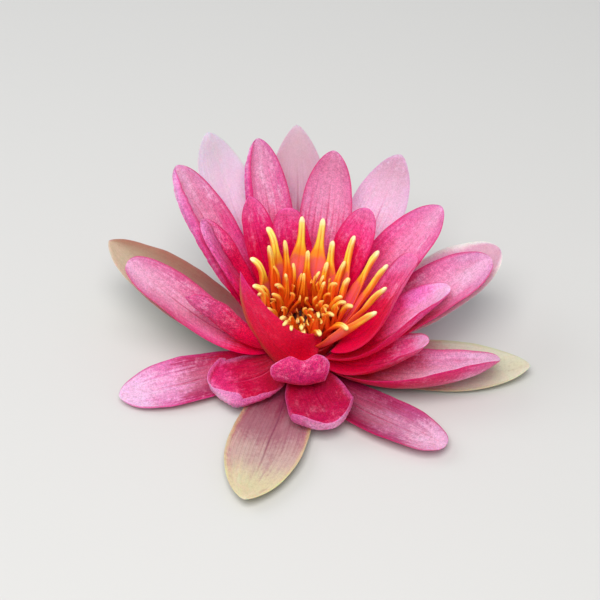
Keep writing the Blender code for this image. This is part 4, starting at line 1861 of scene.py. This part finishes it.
@dataclass(frozen=True)
class Studio:
    """The floor, the lights and the camera, in millimetres and degrees.

    Reach is how far the floor goes each way, and near and far what the camera sees between, in
    metres. Paper is the floor's colour, sky that of the even light, and the lamps look at the
    target height.
    """

    stand: Stand
    elevation: float = 43.0
    distance: float = 430.0
    aim: Tuple[float, float, float] = (-0.6, 4.0, 22.0)
    lens: float = 85.0
    sensor: float = 36.0
    reach: float = 3.0
    paper: Colour = (206, 206, 204)
    paper_roughness: float = 0.8
    sky: Colour = (240, 242, 246)
    sky_strength: float = 0.46
    near: float = 0.01
    far: float = 20.0
    target_height: float = 20.0

    def camera(self) -> None:
        """The camera, looking down on the flower from the front."""
        lens = bpy.data.cameras.new("camera")
        lens.lens, lens.sensor_width = self.lens, self.sensor
        lens.clip_start, lens.clip_end = self.near, self.far
        made = added("camera", lens)
        aim = Vector(self.stand.point(np.array(self.aim)))
        angle = math.radians(self.elevation)
        made.location = aim + Vector((0.0, -math.cos(angle), math.sin(angle))) * self.distance * MM
        made.rotation_euler = (math.radians(90 - self.elevation), 0.0, 0.0)
        bpy.context.scene.camera = made

    def floor(self) -> None:
        """A wide pale floor under the flower."""
        mesh = bpy.data.meshes.new("floor")
        corners = ((-1, -1, 0), (1, -1, 0), (1, 1, 0), (-1, 1, 0))
        mesh.from_pydata([tuple(self.reach * part for part in corner) for corner in corners], [],
                         [(0, 1, 2, 3)])
        made = bpy.data.materials.new("floor_paper")
        made.use_nodes = True
        shader = made.node_tree.nodes["Principled BSDF"]
        shader.inputs["Base Color"].default_value = linear(self.paper)
        shader.inputs["Roughness"].default_value = self.paper_roughness
        mesh.materials.append(made)
        floor = added("floor", mesh)

    def lamp(self, name: str, azimuth: float, elevation: float, distance: float, size: float,
             power: float, tint: Colour) -> None:
        """A soft square lamp that looks at the flower.

        Args:
            name: Its name.
            azimuth: The side that it stands on, in degrees.
            elevation: Its angle above the surface, in degrees.
            distance: How far off it stands, in metres.
            size: The length of its sides, in metres.
            power: Its power, in watts.
            tint: Its colour, 0 to 255 in each channel.
        """
        light = bpy.data.lights.new(name, "AREA")
        light.size, light.energy, light.color = size, power, linear(tint)[:3]
        made = added(name, light)
        target = Vector(self.stand.point(np.array((0.0, 0.0, self.target_height))))
        away = Vector(direction(azimuth, elevation))
        made.location = target + away * distance
        made.rotation_euler = away.to_track_quat("Z", "Y").to_euler()

    def lights(self) -> None:
        """A broad lamp overhead, a weaker one on the left, and an even pale sky."""
        self.lamp("overhead_lamp", azimuth=-100.0, elevation=66.0, distance=0.9, size=0.6,
                  power=7.8, tint=(255, 253, 250))
        self.lamp("side_lamp", azimuth=160.0, elevation=40.0, distance=1.0, size=0.6, power=2.2,
                  tint=(250, 251, 255))
        world = bpy.data.worlds.new("studio")
        bpy.context.scene.world = world
        world.use_nodes = True
        sky = world.node_tree.nodes["Background"]
        sky.inputs["Color"].default_value = linear(self.sky)
        sky.inputs["Strength"].default_value = self.sky_strength

    def build(self) -> None:
        """Sets everything up."""
        self.camera()
        self.floor()
        self.lights()
        bpy.context.scene.view_settings.view_transform = "Standard"


def main() -> None:
    """Builds the flower and its studio."""
    logging.basicConfig(level=logging.INFO, format="%(message)s")
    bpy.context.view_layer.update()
    stand = Stand.of_stub()
    Studio(stand).build()
    for part in (Corolla(stand), Stamens(stand), Thicket(stand), Pistil(stand), Stalk(stand)):
        LOG.info("%s: %d pieces", type(part).__name__, len(part.build()))


if __name__ == "__main__":
    main()
